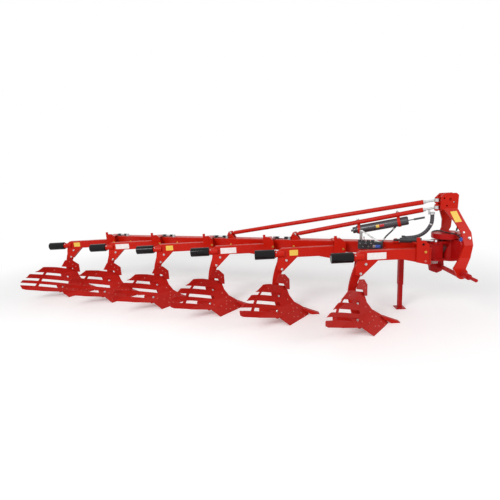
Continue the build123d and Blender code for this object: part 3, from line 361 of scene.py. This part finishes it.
tank_hose_diameter = 0.018
tank_ferrule_length = 30
tank_route = [
    place(436, 284, 357),
    place(402, 276, 320),
    place(358, 262, 289),
    place(316, 248, 256),
    place(286, 238, 216),
]
tank_hose, tank_line = hose("hose_to_tank", tank_route, tank_hose_diameter, rubber)
tank_ends = copied(
    "tank_hose_ferrules",
    ferrule("ferrule", radius=9, length=tank_ferrule_length),
    ends_of(tank_line, tank_ferrule_length),
    "plough_frame",
)
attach(tank_hose, "plough_frame")
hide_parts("tank_hose")

swivel_hose_diameter = 0.016
swivel_ferrule_length = 20
swivel_route = [
    place(1039, 6, 318),
    place(1041, 5, 352),
    place(1048, -8, 388),
    place(1056, -30, 409),
]
swivel_hose, swivel_line = hose(
    "hose_to_headstock_plate", swivel_route, swivel_hose_diameter, rubber
)
swivel_ends = copied(
    "swivel_hose_ferrules",
    ferrule("ferrule", radius=7.4, length=swivel_ferrule_length),
    ends_of(swivel_line, swivel_ferrule_length),
    "headstock",
)
swivel_guard = wound_band(
    "swivel_hose_guard",
    swivel_line,
    radius=0.0078,
    pitch=0.009,
    width=0.0075,
    thickness=0.0021,
    finish=rubber,
    trim=0.021,
)
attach(swivel_guard, "headstock")
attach(swivel_hose, "headstock")
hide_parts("swivel_hose")

body_spacing = 900
furrow_width = 378
beam_slant = math.atan2(furrow_width, body_spacing)
beam_forward = Vector((math.cos(beam_slant), -math.sin(beam_slant), 0))
beam_left = Vector((math.sin(beam_slant), math.cos(beam_slant), 0))
bundle_diameter = 0.040
bundle_route = [
    place(815, 128, up) - (beam_forward * back - beam_left * left) / 1000
    for back, left, up in (
        (0, 0, 548),
        (-4, 2, 480),
        (3, -2, 404),
        (66, 0, 300),
        (176, 3, 241),
        (286, 0, 238),
    )
]
bundle, bundle_line = hose(
    "hose_bundle_down_the_mast", bundle_route, bundle_diameter, rubber
)
bundle_guard = wound_band(
    "hose_bundle_guard",
    bundle_line,
    radius=0.0198,
    pitch=0.026,
    width=0.021,
    thickness=0.0020,
    finish=guard_plastic,
    trim=0.004,
)
tie_percent = 35
tie_at = bundle_line[len(bundle_line) * tie_percent // 100]
tie_way = bundle_line[len(bundle_line) * (tie_percent + 3) // 100] - tie_at
bundle_tie = copied(
    "hose_bundle_tie",
    turned(
        "tie",
        [(20, -6), (23.5, -6), (24, -4), (22.6, 0), (24, 4), (23.5, 6), (20, 6)],
        zinc,
        sides=28,
    ),
    [facing(tie_at, tie_way)],
    "plough_frame",
)
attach(bundle_guard, "plough_frame")
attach(bundle, "plough_frame")
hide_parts("hose_bundle")

# The studio: a pale paper floor that keeps the plough's soft shadow and fades into a white
# surround, one broad soft lamp high on the front left and a weak one from the right.
floor_radius = 40
floor_fade_start = 3.4
floor_fade_end = 6.5
floor_lift = 0.16
floor_bounce = 0.5
surround_light = 0.55
white = (1, 1, 1, 1)
bpy.ops.object.select_all(action="DESELECT")
bpy.ops.mesh.primitive_circle_add(
    vertices=96, radius=floor_radius, fill_type="NGON", location=(0, 0, 0)
)
floor = bpy.context.object
floor.name = "studio_floor"
paper, tree, shader, points = new_finish("pale_studio_paper", specular=0.2)
shader.inputs["Roughness"].default_value = 0.9
shader.inputs["Base Color"].default_value = linear("#FAFAFA")
far = node(tree, "ShaderNodeVectorMath", {0: points}, operation="LENGTH").outputs["Value"]
fade = node(
    tree,
    "ShaderNodeMapRange",
    {"Value": far, "From Min": floor_fade_start, "From Max": floor_fade_end},
    interpolation_type="SMOOTHSTEP",
).outputs["Result"]
rays = node(tree, "ShaderNodeLightPath").outputs
seen = node(
    tree,
    "ShaderNodeMath",
    {0: rays["Is Camera Ray"], 1: rays["Is Glossy Ray"]},
    operation="MAXIMUM",
).outputs[0]
shown = node(
    tree, "ShaderNodeMapRange", {"Value": seen, "To Min": floor_bounce, "To Max": 1.0}
).outputs["Result"]
glow = node(tree, "ShaderNodeEmission", {"Color": white, "Strength": shown})
lift = node(
    tree, "ShaderNodeMath", {0: rays["Is Camera Ray"], 1: floor_lift}, operation="MULTIPLY"
).outputs[0]
tree.links.new(lift, shader.inputs["Emission Strength"])
shader.inputs["Emission Color"].default_value = white
blend = node(tree, "ShaderNodeMixShader", {0: fade, 1: shader.outputs[0], 2: glow.outputs[0]})
tree.links.new(blend.outputs[0], tree.nodes["Material Output"].inputs["Surface"])
floor.data.materials.append(paper)
floor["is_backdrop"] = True

world = bpy.data.worlds.new("white_surround")
bpy.context.scene.world = world
world.use_nodes = True
tree = world.node_tree
rays = node(tree, "ShaderNodeLightPath").outputs
seen = node(
    tree,
    "ShaderNodeMath",
    {0: rays["Is Camera Ray"], 1: rays["Is Transmission Ray"]},
    operation="MAXIMUM",
).outputs[0]
seen = node(
    tree, "ShaderNodeMath", {0: seen, 1: rays["Is Glossy Ray"]}, operation="MAXIMUM"
).outputs[0]
shown = node(
    tree, "ShaderNodeMapRange", {"Value": seen, "To Min": surround_light, "To Max": 1.0}
).outputs["Result"]
tree.links.new(shown, tree.nodes["Background"].inputs["Strength"])
tree.nodes["Background"].inputs["Color"].default_value = white


def soft_lamp(name, spot, aim, width, height, watts):
    """A rectangular lamp that stands at a spot and looks at a point."""
    data = bpy.data.lights.new(name, "AREA")
    data.shape = "RECTANGLE"
    data.size = width
    data.size_y = height
    data.energy = watts
    lamp = bpy.data.objects.new(name, data)
    bpy.context.collection.objects.link(lamp)
    turn = (Vector(aim) - Vector(spot)).to_track_quat("-Z", "Y").to_matrix().to_4x4()
    lamp.matrix_world = Matrix.Translation(spot) @ turn


soft_lamp("key_lamp", (-3.0, -5.5, 5.0), aim=(0, 0, 0.6), width=3.0, height=1.8, watts=270)
soft_lamp("fill_lamp", (5.5, -3.5, 3.5), aim=(1.5, 0, 0.8), width=2.5, height=2.0, watts=60)

# Frame parts are cut and welded steel, blasted, primed and sprayed with a two-pack enamel
# that is baked hard: a glossy orange-red with the spray's slight waviness, edges mixed
# towards a paler red as a painted highlight, and a pale pink tint on what faces up as a painted
# reflection of the sky.


def enamel(name, colours, edge_highlight, top_sheen, roughness, specular):
    """A sprayed enamel. The spray's real waves are 3 mm apart; 45 mm shows in the picture."""
    colour_patch = 0.5
    edge_radius = 0.003
    edge_starts = 0.97
    edge_full = 0.8
    edge_share = 0.5
    sheen_starts = 0.3
    sheen_share = 0.09
    light_patch_size = 0.06
    finish, tree, shader, points = new_finish(name, specular=specular)
    colour, gloss = two_tone(tree, shader, points, colours, colour_patch, roughness)
    rounded = node(tree, "ShaderNodeBevel", {"Radius": edge_radius}, samples=4).outputs["Normal"]
    facet = node(tree, "ShaderNodeNewGeometry").outputs
    meeting = node(
        tree, "ShaderNodeVectorMath", {0: rounded, 1: facet["Normal"]}, operation="DOT_PRODUCT"
    ).outputs["Value"]
    # Painted highlight: where the rounded normal parts from the true one, at edges, the colour is
    # mixed towards a paler red.
    edge = node(
        tree,
        "ShaderNodeMapRange",
        {"Value": meeting, "From Min": edge_starts, "From Max": edge_full, "To Max": edge_share},
    ).outputs["Result"]
    # Noise patches that break up the painted edge highlight and the painted reflection on top faces.
    light_patches = node(
        tree, "ShaderNodeTexNoise", {"Vector": points, "Scale": 1 / light_patch_size, "Detail": 4.0}
    ).outputs["Fac"]
    edge = node(tree, "ShaderNodeMath", {0: edge, 1: light_patches}, operation="MULTIPLY").outputs[0]
    # Painted reflection: faces that look up are mixed towards a pale pink tint, and they are also
    # made rougher.
    upward = node(tree, "ShaderNodeSeparateXYZ", {0: facet["Normal"]}).outputs["Z"]
    top_sheen_mask = node(
        tree,
        "ShaderNodeMapRange",
        {"Value": upward, "From Min": sheen_starts, "From Max": 1.0, "To Max": sheen_share},
    ).outputs["Result"]
    top_sheen_mask = node(tree, "ShaderNodeMath", {0: top_sheen_mask, 1: light_patches}, operation="MULTIPLY").outputs[0]
    edged = node(
        tree, "ShaderNodeMix", {"Factor": edge, 6: colour, 7: linear(edge_highlight)}, data_type="RGBA"
    ).outputs[2]
    sheened = node(
        tree, "ShaderNodeMix", {"Factor": top_sheen_mask, 6: edged, 7: linear(top_sheen)}, data_type="RGBA"
    ).outputs[2]
    tree.links.new(sheened, shader.inputs["Base Color"])
    dull = node(
        tree, "ShaderNodeMath", {0: gloss, 1: top_sheen_mask}, operation="ADD", use_clamp=True
    ).outputs[0]
    tree.links.new(dull, shader.inputs["Roughness"])
    waviness(tree, shader, points, spacing=0.045, height=0.0006, normal=rounded)
    return finish


# Three reds: the frame's is the most orange and glossy; the bodies' is duller and drawn a little
# darker as painted shade; the joints' is the deepest, a darker copy of the frame's as painted shade.
frame_red = enamel(
    "orange_red_frame_enamel",
    colours=("#BF1808", "#C91E0B"),
    edge_highlight="#E8604A",
    top_sheen="#D8B8A8",
    roughness=(0.26, 0.36),
    specular=0.15,
)
# Painted shade: a little darker than the frame red; its duller gloss is the paint's own.
shaded_body_red = enamel(
    "crimson_body_enamel",
    colours=("#B6170F", "#C01C12"),
    edge_highlight="#D95A4C",
    top_sheen="#C8A49A",
    roughness=(0.34, 0.45),
    specular=0.12,
)
# Painted shade: a darker copy of the frame red for the joints and the stand, which sit in shade.
shaded_joint_red = enamel(
    "joint_enamel_painted_shade",
    colours=("#AC1010", "#B41514"),
    edge_highlight="#CF4A44",
    top_sheen="#C09A92",
    roughness=(0.28, 0.38),
    specular=0.14,
)


def dress(finish, *names):
    """Gives CAD nodes their finish."""
    for name in names:
        piece = frame["nodes"][name]
        piece.data.materials.clear()
        piece.data.materials.append(finish)


surfaces = {}


def seated(name, point, sink=0.0):
    """The place on a CAD node's surface nearest to a point, facing out of it."""
    if name not in surfaces:
        mesh = frame["nodes"][name].data
        corners = [v.co for v in mesh.vertices]
        surfaces[name] = BVHTree.FromPolygons(corners, [tuple(p.vertices) for p in mesh.polygons])
    spot, normal, _, _ = surfaces[name].find_nearest(point)
    return facing(spot - normal * sink, normal)


def station(k, x, y, z):
    """The point that lies so from body k's upper leg bolt, in mm; the first body is 0."""
    return place(x - body_spacing * k, y + furrow_width * k, z)


bodies = range(6)
dress(frame_red, "main_beam")

# Bracket pins: the arms turn on pins pushed through the bracket plates, headed and
# passivated yellow; a plated nut on the upper saddle plate holds each station together.
yellow_zinc, tree, shader, points = new_finish("yellow_passivated_zinc", metallic=1.0)
two_tone(tree, shader, points, ("#E2B24C", "#C9A05A"), patch=0.01, roughness=(0.25, 0.42))
waviness(tree, shader, points, spacing=0.004, height=0.0001)

# Heads sprayed over with the frame are drawn a pale pink, lighter than the paint round them: painted
# highlight.
highlight_pale_bolt_paint, tree, shader, points = new_finish("bolt_paint_painted_highlight", specular=0.45)
two_tone(tree, shader, points, ("#D9776C", "#B8463E"), patch=0.012, roughness=(0.3, 0.45))
waviness(tree, shader, points, spacing=0.004, height=0.0002)


def hex_bolt(name, flats, head, finish):
    """A bolt's head on its washer, in mm, with the stamped chamfer round its corners."""
    corner = flats / math.sqrt(3)
    washer = 0.11 * flats
    washer_radius = 0.62 * flats
    top = washer + head
    hexagon = turned(
        name + "_head",
        [
            (corner * 0.98, washer),
            (corner, washer + 0.6),
            (corner, washer + head * 0.8),
            (corner * 0.84, top),
            (corner * 0.5, top),
            (corner * 0.46, top - 0.6),
        ],
        finish,
        sides=6,
    )
    ring = turned(
        name + "_washer",
        [(washer_radius, -0.5), (washer_radius, washer * 0.8), (flats * 0.58, washer)],
        finish,
    )
    return joined(name, hexagon, ring)


def near_side(point):
    """The place of a fastener on an upright face that looks to the right of the plough."""
    return facing(point, (0, -1, 0))


near_plate = -58
bracket_pin_places = ((674, 115), (721, 114), (742, 115), (745, 114), (745, 111), (738, 112))
pin_head = turned(
    "pin_head",
    [(15, -0.5), (15, 3), (14, 4), (10.5, 4), (10.5, 10), (9, 12), (4, 12), (3, 10.5)],
    yellow_zinc,
)
copied(
    "bracket_pin_heads",
    pin_head,
    [near_side(station(k, x, near_plate, z)) for k, (x, z) in enumerate(bracket_pin_places)],
    "plough_frame",
)
beam_face_pin_place = (130, 330, 106)
copied(
    "beam_face_pin_heads",
    pin_head,
    [seated("main_beam", station(k, *beam_face_pin_place)) for k in bodies[:-1]],
    "plough_frame",
)
saddle_top = 212
saddle_nut_places = (644, 679, 684, 689, 689, 689)
copied(
    "saddle_nuts",
    hex_bolt("saddle_bolt", flats=46, head=22, finish=zinc),
    [
        facing(station(k, x, 0, saddle_top), (0, 0, 1))
        for k, x in enumerate(saddle_nut_places)
    ],
    "plough_frame",
)
copied(
    "bracket_square_bolt",
    turned("square_bolt", [(15, -0.5), (17, 1), (17, 9), (14, 11)], highlight_pale_bolt_paint, sides=4),
    [near_side(place(674, near_plate, 8))],
    "plough_frame",
)

# A square plug sits in the first bracket's spare hole, a matt brownish black that paints the shade
# inside the hole.
hole_shade_black, tree, shader, points = new_finish("hole_shade_black_finish", metallic=1.0)
two_tone(tree, shader, points, ("#2A2022", "#1C1618"), patch=0.01, roughness=(0.4, 0.55))
waviness(tree, shader, points, spacing=0.004, height=0.0001)
copied(
    "bracket_square_plug",
    turned(
        "square_plug",
        [(15, -0.5), (16, 0.5), (16, 4), (14, 5), (9, 5), (8, 2)],
        hole_shade_black,
        sides=4,
    ),
    [near_side(place(644, near_plate, 206))],
    "plough_frame",
)

# Arms: square tubes with a flat cheek welded on each side at the rear, sprayed like the beam.
# Two plated bolts through the cheeks hold each leg, with nuts on the far side.
dress(frame_red, *["arm_%d" % (k + 1) for k in bodies])
cheek_side = 40
leg_bolt_places = ((0, 0), (-61, -114))
leg_bolt = hex_bolt("leg_bolt", flats=25, head=12, finish=zinc)
leg_nut = joined(
    "leg_nut",
    hex_bolt("nut", flats=30, head=17, finish=zinc),
    turned("thread_end", [(9.5, 16), (9.5, 27), (8, 29)], zinc, sides=16),
)
for k in bodies:
    copied(
        "leg_bolts_%d" % (k + 1),
        leg_bolt,
        [near_side(station(k, x, -cheek_side, z)) for x, z in leg_bolt_places],
        "plough_frame",
    )
    copied(
        "leg_nuts_%d" % (k + 1),
        leg_nut,
        [facing(station(k, x, cheek_side, z), (0, 1, 0)) for x, z in leg_bolt_places],
        "plough_frame",
    )

# Labels: blank vinyl plates with cut round corners, stuck on the arms, on the headstock
# and on the accumulator; smooth and slightly soft in gloss, a little faded in patches.
white_vinyl, tree, shader, points = new_finish("white_label_vinyl", specular=0.4)
two_tone(tree, shader, points, ("#F4F0EE", "#EDE4E2"), patch=0.03, roughness=(0.3, 0.4))
yellow_vinyl, tree, shader, points = new_finish("yellow_label_vinyl", specular=0.4)
two_tone(tree, shader, points, ("#F1C348", "#EDCB58"), patch=0.03, roughness=(0.3, 0.4))
red_vinyl, tree, shader, points = new_finish("red_label_vinyl", specular=0.4)
two_tone(tree, shader, points, ("#C3202A", "#B81C26"), patch=0.03, roughness=(0.3, 0.4))
vinyl_thickness = 0.0008


def label_plate(name, width, height, finish, corner=6):
    """A blank plate in the plane of X and Y, in mm, lying on Z = 0."""
    bpy.ops.object.select_all(action="DESELECT")
    bpy.ops.mesh.primitive_plane_add(size=1, location=(0, 0, 0))
    plate = bpy.context.object
    plate.name = name
    plate.data.transform(Matrix.Diagonal((width / 1000, height / 1000, 1, 1)))
    bpy.ops.object.mode_set(mode="EDIT")
    bpy.ops.mesh.select_all(action="SELECT")
    bpy.ops.mesh.bevel(offset=corner / 1000, segments=4, affect="VERTICES")
    bpy.ops.mesh.select_all(action="SELECT")
    bpy.ops.mesh.extrude_region_move(TRANSFORM_OT_translate={"value": (0, 0, vinyl_thickness)})
    bpy.ops.object.mode_set(mode="OBJECT")
    plate.data.materials.append(finish)
    return closed(plate)


upright = Matrix.Rotation(math.radians(90), 4, "X")
white_plate = label_plate("white_plate", 220, 80, white_vinyl)
yellow_plate = label_plate("yellow_plate", 108, 72, yellow_vinyl)
arm_labels = (
    (white_plate, 123, 93),
    (yellow_plate, 96, 97),
    (white_plate, 122, 90),
    (yellow_plate, 96, 97),
    (white_plate, 124, 91),
    (yellow_plate, 74, 98),
)
for k, (plate, x, z) in enumerate(arm_labels):
    copied(
        "arm_label_%d" % (k + 1),
        plate,
        [Matrix.Translation(station(k, x, -cheek_side, z)) @ upright],
        "plough_frame",
    )

# Legs: a flame-cut shin with the frog plate and the landside welded to it, all sprayed in
# the body red, drawn darker as painted shade; plated bolts hold the frog and the brace behind the
# board's slots.
dress(shaded_body_red, *["leg_%d" % (k + 1) for k in bodies])
frog_bolt = hex_bolt("frog_bolt", flats=24, head=10, finish=zinc)
frog_bolt_places = ((-127, -139, -442), (-160, -277, -590))
for k in bodies:
    copied(
        "frog_bolts_%d" % (k + 1),
        frog_bolt,
        [seated("leg_%d" % (k + 1), station(k, *p)) for p in frog_bolt_places],
        "plough_frame",
    )

# Mouldboards and shares: hardened three-layer steel, pressed to their twist, slotted, and
# held by countersunk plough bolts whose square-necked heads lie almost flush in the face.
dress(shaded_body_red, *["mouldboard_%d" % (k + 1) for k in bodies])
dress(shaded_body_red, *["share_%d" % (k + 1) for k in bodies])
plough_bolt = turned(
    "plough_bolt", [(9.5, -0.6), (9.5, 0.8), (8.6, 1.6), (3.4, 1.6), (3.0, 0.9)], highlight_pale_bolt_paint, sides=20
)
board_bolt_places = (
    (-7, -70, -514),
    (45, -73, -580),
    (57, -165, -647),
    (-11, -235, -648),
    (109, -90, -632),
    (-103, -269, -612),
    (55, -121, -619),
    (-252, -282, -283),
)
share_bolt_places = ((159, -122, -690), (55, -240, -689), (109, -203, -705), (230, -150, -690))
for k in bodies:
    spots = [seated("mouldboard_%d" % (k + 1), station(k, *p)) for p in board_bolt_places]
    spots += [seated("share_%d" % (k + 1), station(k, *p)) for p in share_bolt_places]
    copied("plough_bolts_%d" % (k + 1), plough_bolt, spots, "plough_frame")

# Skimmer boards: flat plates bent over the mouldboards to turn in the trash, each on a
# short arm, sprayed in the body red and held by flush bolts.
dress(shaded_body_red, "trash_boards")
skimmer_bolt_places = ((-64, -114, -183), (-5, -44, -287), (-36, -80, -240))
copied(
    "skimmer_bolts",
    plough_bolt,
    [seated("trash_boards", station(k, *p)) for k in bodies for p in skimmer_bolt_places],
    "plough_frame",
)

# Overload cans: a spring pack in a pressed steel can, sprayed gloss black, with a red
# hexagon collar that sets its load and a plated bolt on the seat.
collar_place = (-147, -30, 88)
seat_bolt_place = (-128, -64, 117)

# The black enamel reflects sharply over the spray's waves: 3 mm apart, drawn at 50 mm to show.
gloss_black, tree, shader, points = new_finish("gloss_black_can_enamel", specular=0.2)
two_tone(tree, shader, points, ("#0E0C0E", "#151215"), patch=0.3, roughness=(0.1, 0.16))
waviness(tree, shader, points, spacing=0.05, height=0.0002)
dress(gloss_black, "spring_cans")
copied(
    "can_collars",
    turned("collar", [(44, 0), (52, 3), (52, 15), (44, 18)], shaded_body_red, sides=6),
    [facing(station(k, *collar_place), (1, 0, 0)) for k in bodies],
    "plough_frame",
)
copied(
    "can_seat_bolts",
    hex_bolt("seat_bolt", flats=13, head=6, finish=zinc),
    [seated("arm_%d" % (k + 1), station(k, *seat_bolt_place)) for k in bodies],
    "plough_frame",
)

# Width spindles: turned and plated screws on the beam's top, with black rubber boots
# moulded in folds over their threads, one towards each end.
dress(zinc, "width_spindles")
beam_slope = furrow_width / body_spacing
beam_middle_y = 172 + 700 * beam_slope
spindle_start = 800
spindle_run = 200
spindle_height = 219.3
spindle_aside = 0.058


def on_spindle(k, share):
    """A point of body k's spindle, from its rear end at 0 to its front end at 1."""
    x = spindle_start + spindle_run * share
    on_beam = station(k, x, beam_middle_y - x * beam_slope, spindle_height)
    return on_beam - beam_left * spindle_aside


boot_rings = []
for fold in range(7):
    boot_rings += [(15, 8 * fold), (18.5, 8 * fold + 4)]
boot = turned("boot", [(12, -1)] + boot_rings + [(15, 56), (12, 57)], rubber, sides=20)
spindle_bodies = range(2, 6)
front_boots = [facing(on_spindle(k, 0.66), beam_forward) for k in spindle_bodies]
rear_boots = [facing(on_spindle(k, 0.34), -beam_forward) for k in spindle_bodies]
copied("spindle_boots", boot, front_boots + rear_boots, "plough_frame")

# Headstock: hub, fork and disc turned and welded, side plates folded from thick plate and
# bolted on; a swivel pin with a plated cap goes through the knuckle on the beam's end.
# The hub, knuckle, crossbar and link pins take the darker copy of the frame red: painted shade.
dress(
    shaded_joint_red,
    "headstock_hub",
    "beam_knuckle",
    "lower_crossbar",
    "lower_link_pin_left",
    "lower_link_pin_right",
)
dress(frame_red, "headstock_plate_left", "headstock_plate_right", "mast_head")
dress(zinc, "swivel_pin", "hose_clip")

# The yellow plate lies on the slanted shank of the right side plate, between these corners.
label_width = 76
label_height = 142
upper_left = Vector((968, 28, 557))
upper_right = Vector((1039, 29, 559))
lower_right = Vector((1070, -40, 445))
lower_left = Vector((994, -44, 438))
label_middle = (upper_left + upper_right + lower_right + lower_left) / 4
label_right = (upper_right - upper_left + lower_right - lower_left) / 2
label_up = (upper_left - lower_left + upper_right - lower_right) / 2
label_out = label_right.cross(label_up).normalized()
slanted = Matrix(
    (
        (*(label_right / label_width), 0),
        (*(label_up / label_height), 0),
        (*label_out, 0),
        (0, 0, 0, 1),
    )
).transposed()
copied(
    "headstock_label_plate",
    label_plate("headstock_label", label_width, label_height, yellow_vinyl, corner=3),
    [Matrix.Translation(place(*label_middle)) @ slanted],
    "headstock",
)

copied(
    "headstock_plate_bolts",
    hex_bolt("plate_bolt", flats=19, head=9, finish=zinc),
    [
        seated("headstock_plate_right", place(1054, -116, 332)),
        seated("headstock_plate_left", place(1054, 336, 332)),
    ],
    "headstock",
)
copied(
    "headstock_plate_pins",
    turned(
        "plate_pin",
        [(16, -1), (16, 4), (14.5, 5.5), (11, 5.5), (11, 15), (9, 17), (5, 17), (4, 15.5)],
        zinc,
    ),
    [
        seated("headstock_plate_right", place(1097, -155, 272)),
        seated("headstock_plate_left", place(1097, 375, 272)),
    ],
    "headstock",
)

# The oil coupler stands behind the right side plate: a plated neck under a cap moulded in
# blue polyamide, whose skin is slightly rough and soft in gloss.
blue_cap, tree, shader, points = new_finish("moulded_blue_coupler_cap", specular=0.45)
two_tone(tree, shader, points, ("#2B49A0", "#3558B4"), patch=0.03, roughness=(0.35, 0.5))
waviness(tree, shader, points, spacing=0.006, height=0.0003)
coupler_foot = place(1020, -128, 206)
coupler = joined(
    "coupler",
    turned(
        "coupler_cap",
        [(17, 34), (19, 36), (19, 62), (17.5, 64), (17.5, 70), (14, 74), (6, 74)],
        blue_cap,
        sides=28,
    ),
    turned("coupler_neck", [(13, 0), (13, 12), (16, 13), (16, 22), (12, 23), (12, 36)], zinc),
)
copied(
    "oil_coupler",
    coupler,
    [facing(coupler_foot, (0.1, -0.1, 1))],
    "headstock",
)

# Oil pipe over the disc: a thin steel pipe, bent cold and painted a plain black, clipped on
# the disc's top from its rear rim to the coupler; its black along the rim is painted shade of the
# disc's upper edge.
rim_shade_black, tree, shader, points = new_finish("black_pipe_painted_rim_shade", specular=0.3)
two_tone(tree, shader, points, ("#141416", "#201F22"), patch=0.05, roughness=(0.3, 0.42))
waviness(tree, shader, points, spacing=0.01, height=0.0002)
pipe_diameter = 0.013
pipe_points = [
    place(838, 150, 292),
    place(842, 168, 310),
    place(885, 212, 310),
    place(938, 232, 310),
    place(958, 190, 310),
    place(955, 110, 310),
    place(962, 30, 310),
    place(985, -30, 310),
    place(1004, -74, 306),
    place(1014, -104, 290),
    place(1018, -122, 272),
]
rim_shade_pipe, _ = hose("oil_pipe_over_disc", pipe_points, pipe_diameter, rim_shade_black)
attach(rim_shade_pipe, "headstock")

# Mast, stays and their feet: seamless tube between screwed eyes; the threads and eyes are
# plated, the tubes and feet sprayed, and each foot's pin has a plated head.
dress(frame_red, "stay_upper", "stay_lower", "stay_bracket_upper", "stay_bracket_lower")
dress(zinc, "stay_ends")
copied(
    "stay_foot_pin_heads",
    turned("foot_pin", [(17, -0.5), (17, 4), (15, 6), (6, 6), (5, 5)], zinc),
    [
        seated("stay_bracket_upper", place(-1671, 1125, 272), sink=0.001),
        seated("stay_bracket_lower", place(-746, 737, 268), sink=0.001),
    ],
    "plough_frame",
)

# Accumulator: a drawn steel bottle for the oil's gas cushion, held under the lower stay by
# two clamps with a bolt on each, labelled on its near side and propped on the beam.
clamp_tops = (place(459, 270, 570), place(27, 438, 478))

# The bottle's dark grey enamel has a thin clear coat, so its lights are soft with a sharp
# core. Its waves are 3 mm apart, drawn at 40 mm to show.
grey_enamel, tree, shader, points = new_finish("dark_grey_bottle_enamel")
shader.inputs["Coat Weight"].default_value = 0.2
shader.inputs["Coat Roughness"].default_value = 0.15
two_tone(tree, shader, points, ("#37353A", "#434046"), patch=0.2, roughness=(0.28, 0.4))
waviness(tree, shader, points, spacing=0.04, height=0.0004)
dress(grey_enamel, "accumulator")
dress(frame_red, "accumulator_clamps")
copied(
    "accumulator_clamp_bolts",
    hex_bolt("clamp_bolt", flats=24, head=12, finish=zinc),
    [seated("accumulator_clamps", top) for top in clamp_tops],
    "plough_frame",
)


def wrapped_label(name, node_name, start, end, height, finish):
    """A blank label between two points of a curved CAD surface, lying close on it all over."""
    gap = 0.0002
    run = end - start
    bpy.ops.object.select_all(action="DESELECT")
    bpy.ops.mesh.primitive_grid_add(
        x_subdivisions=8, y_subdivisions=12, size=1, location=(0, 0, 0)
    )
    label = bpy.context.object
    label.name = name
    rise = Vector((0, 0, 1)) - run * run.z / run.length_squared
    rise.normalize()
    for corner in label.data.vertices:
        flat = start + run * (corner.co.x + 0.5) + rise * corner.co.y * height
        corner.co = seated(node_name, flat) @ Vector((0, 0, gap))
    thick = label.modifiers.new("thickness", "SOLIDIFY")
    thick.thickness = vinyl_thickness
    thick.offset = 1.0
    only(label)
    bpy.ops.object.modifier_apply(modifier="thickness")
    label.data.materials.append(finish)
    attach(label, "plough_frame")
    return closed(label)


label_start = place(223, 317, 385)
label_joint = place(257, 303, 391)
label_end = place(311, 280, 403)
wrapped_label(
    "accumulator_label", "accumulator", label_start, label_joint, 0.038, yellow_vinyl
)
wrapped_label(
    "accumulator_red_label", "accumulator", label_joint, label_end, 0.032, red_vinyl
)

# The accumulator's prop is flat bar, bent and hot-dip galvanised: a pale grey with the
# zinc's flowers, 10 to 30 mm across.
prop_steel, tree, shader, points = new_finish("bright_galvanised_bar", metallic=0.85)
two_tone(tree, shader, points, ("#ADACAC", "#959493"), patch=0.03, roughness=(0.42, 0.55))
waviness(tree, shader, points, spacing=0.01, height=0.0002)
dress(prop_steel, "accumulator_prop")

# Swivel cylinder along the beam's top: a honed tube welded to its ends, and a ground and
# hard chromed rod that pushes the lever on the headstock's fork.
dress(frame_red, "swivel_cylinder_bracket")

# Oil keeps the dark enamel slightly wet, and its gloss uneven in patches a hand wide.
oil_dark, tree, shader, points = new_finish("dark_hydraulic_enamel")
two_tone(tree, shader, points, ("#2A2B2E", "#35363A"), patch=0.1, roughness=(0.3, 0.45))
waviness(tree, shader, points, spacing=0.01, height=0.0003)
dress(oil_dark, "swivel_cylinder_barrel", "valve_block", "hose_gland")

# The chrome is almost a mirror. Its grinding marks are 0.02 mm apart, drawn at 2 mm to show.
chrome, tree, shader, points = new_finish("ground_hard_chrome", metallic=1.0)
two_tone(tree, shader, points, ("#E6E8EA", "#D8DADC"), patch=0.02, roughness=(0.08, 0.16))
waviness(tree, shader, points, spacing=0.002, height=0.00002)
dress(chrome, "swivel_cylinder_rod")

# Valve block: a machined iron block on the beam's near side, black, with plated
# unions for its oil lines along the face and one blue capped outlet.
union = joined(
    "union",
    turned("union_nut", [(9, -1), (11, 1), (11, 10), (9, 12)], zinc, sides=6),
    turned("union_end", [(7, 11), (7, 20), (6, 22), (6, 28)], oil_dark, sides=18),
)
valve_middle = place(146, 280, 160)
valve_face = -beam_left
valve_half_depth = 40


def on_valve(along, out, up):
    """A point from the valve block's middle: along the beam, out of its near face, and up."""
    aside = valve_face * (valve_half_depth + out)
    return valve_middle + (beam_forward * along + aside + Vector((0, 0, up))) / 1000


union_places = ((-118, 22), (-84, -16), (-52, 26), (-20, -14), (12, 24))
copied(
    "valve_unions",
    union,
    [facing(on_valve(along, 0, up), valve_face) for along, up in union_places],
    "plough_frame",
)
outlet = joined(
    "outlet",
    turned(
        "outlet_cap",
        [(13, 16), (18, 17), (19.5, 20), (19.5, 70), (17, 74), (8, 74)],
        blue_cap,
        sides=28,
    ),
    turned("outlet_nut", [(14, -14), (16, -12), (16, 6), (14, 8)], zinc, sides=6),
    turned("outlet_neck", [(12, 7), (12, 18)], zinc, sides=20),
)
copied(
    "valve_outlet",
    outlet,
    [facing(on_valve(48, 20, -4), beam_forward)],
    "plough_frame",
)
lever = joined(
    "lever",
    turned("lever_boss", [(10, -1), (10, 14), (8, 16)], oil_dark, sides=20),
    turned(
        "lever_arm",
        [(5, 10), (5, 40), (4, 42), (4, 58), (8, 62), (9, 70), (6, 76)],
        zinc,
        sides=16,
    ),
)
lever_places = (-96, -64)
copied(
    "valve_levers",
    lever,
    [facing(on_valve(along, -6, 44), (-0.25, -0.3, 1)) for along in lever_places],
    "plough_frame",
)

# Parking stand: a folded square sleeve welded to the beam's far side and a square leg that
# slides in it, held by a plated cross pin.
# Sleeve and leg take the darker copy of the frame red: painted shade.
dress(shaded_joint_red, "stand_sleeve", "stand_leg")
copied(
    "stand_pin_head",
    turned(
        "stand_pin", [(13, -1), (13, 3), (11, 5), (6, 5), (6, 18), (4, 19)], zinc, sides=20
    ),
    [facing(place(575, 432, -250), (0, 1, 0))],
    "plough_frame",
)

# The shapes that were only there to be copied leave the bench.
masters = [
    o for o in bpy.data.objects if o.type == "MESH" and o.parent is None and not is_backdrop(o)
]
for master in masters:
    bpy.data.objects.remove(master)
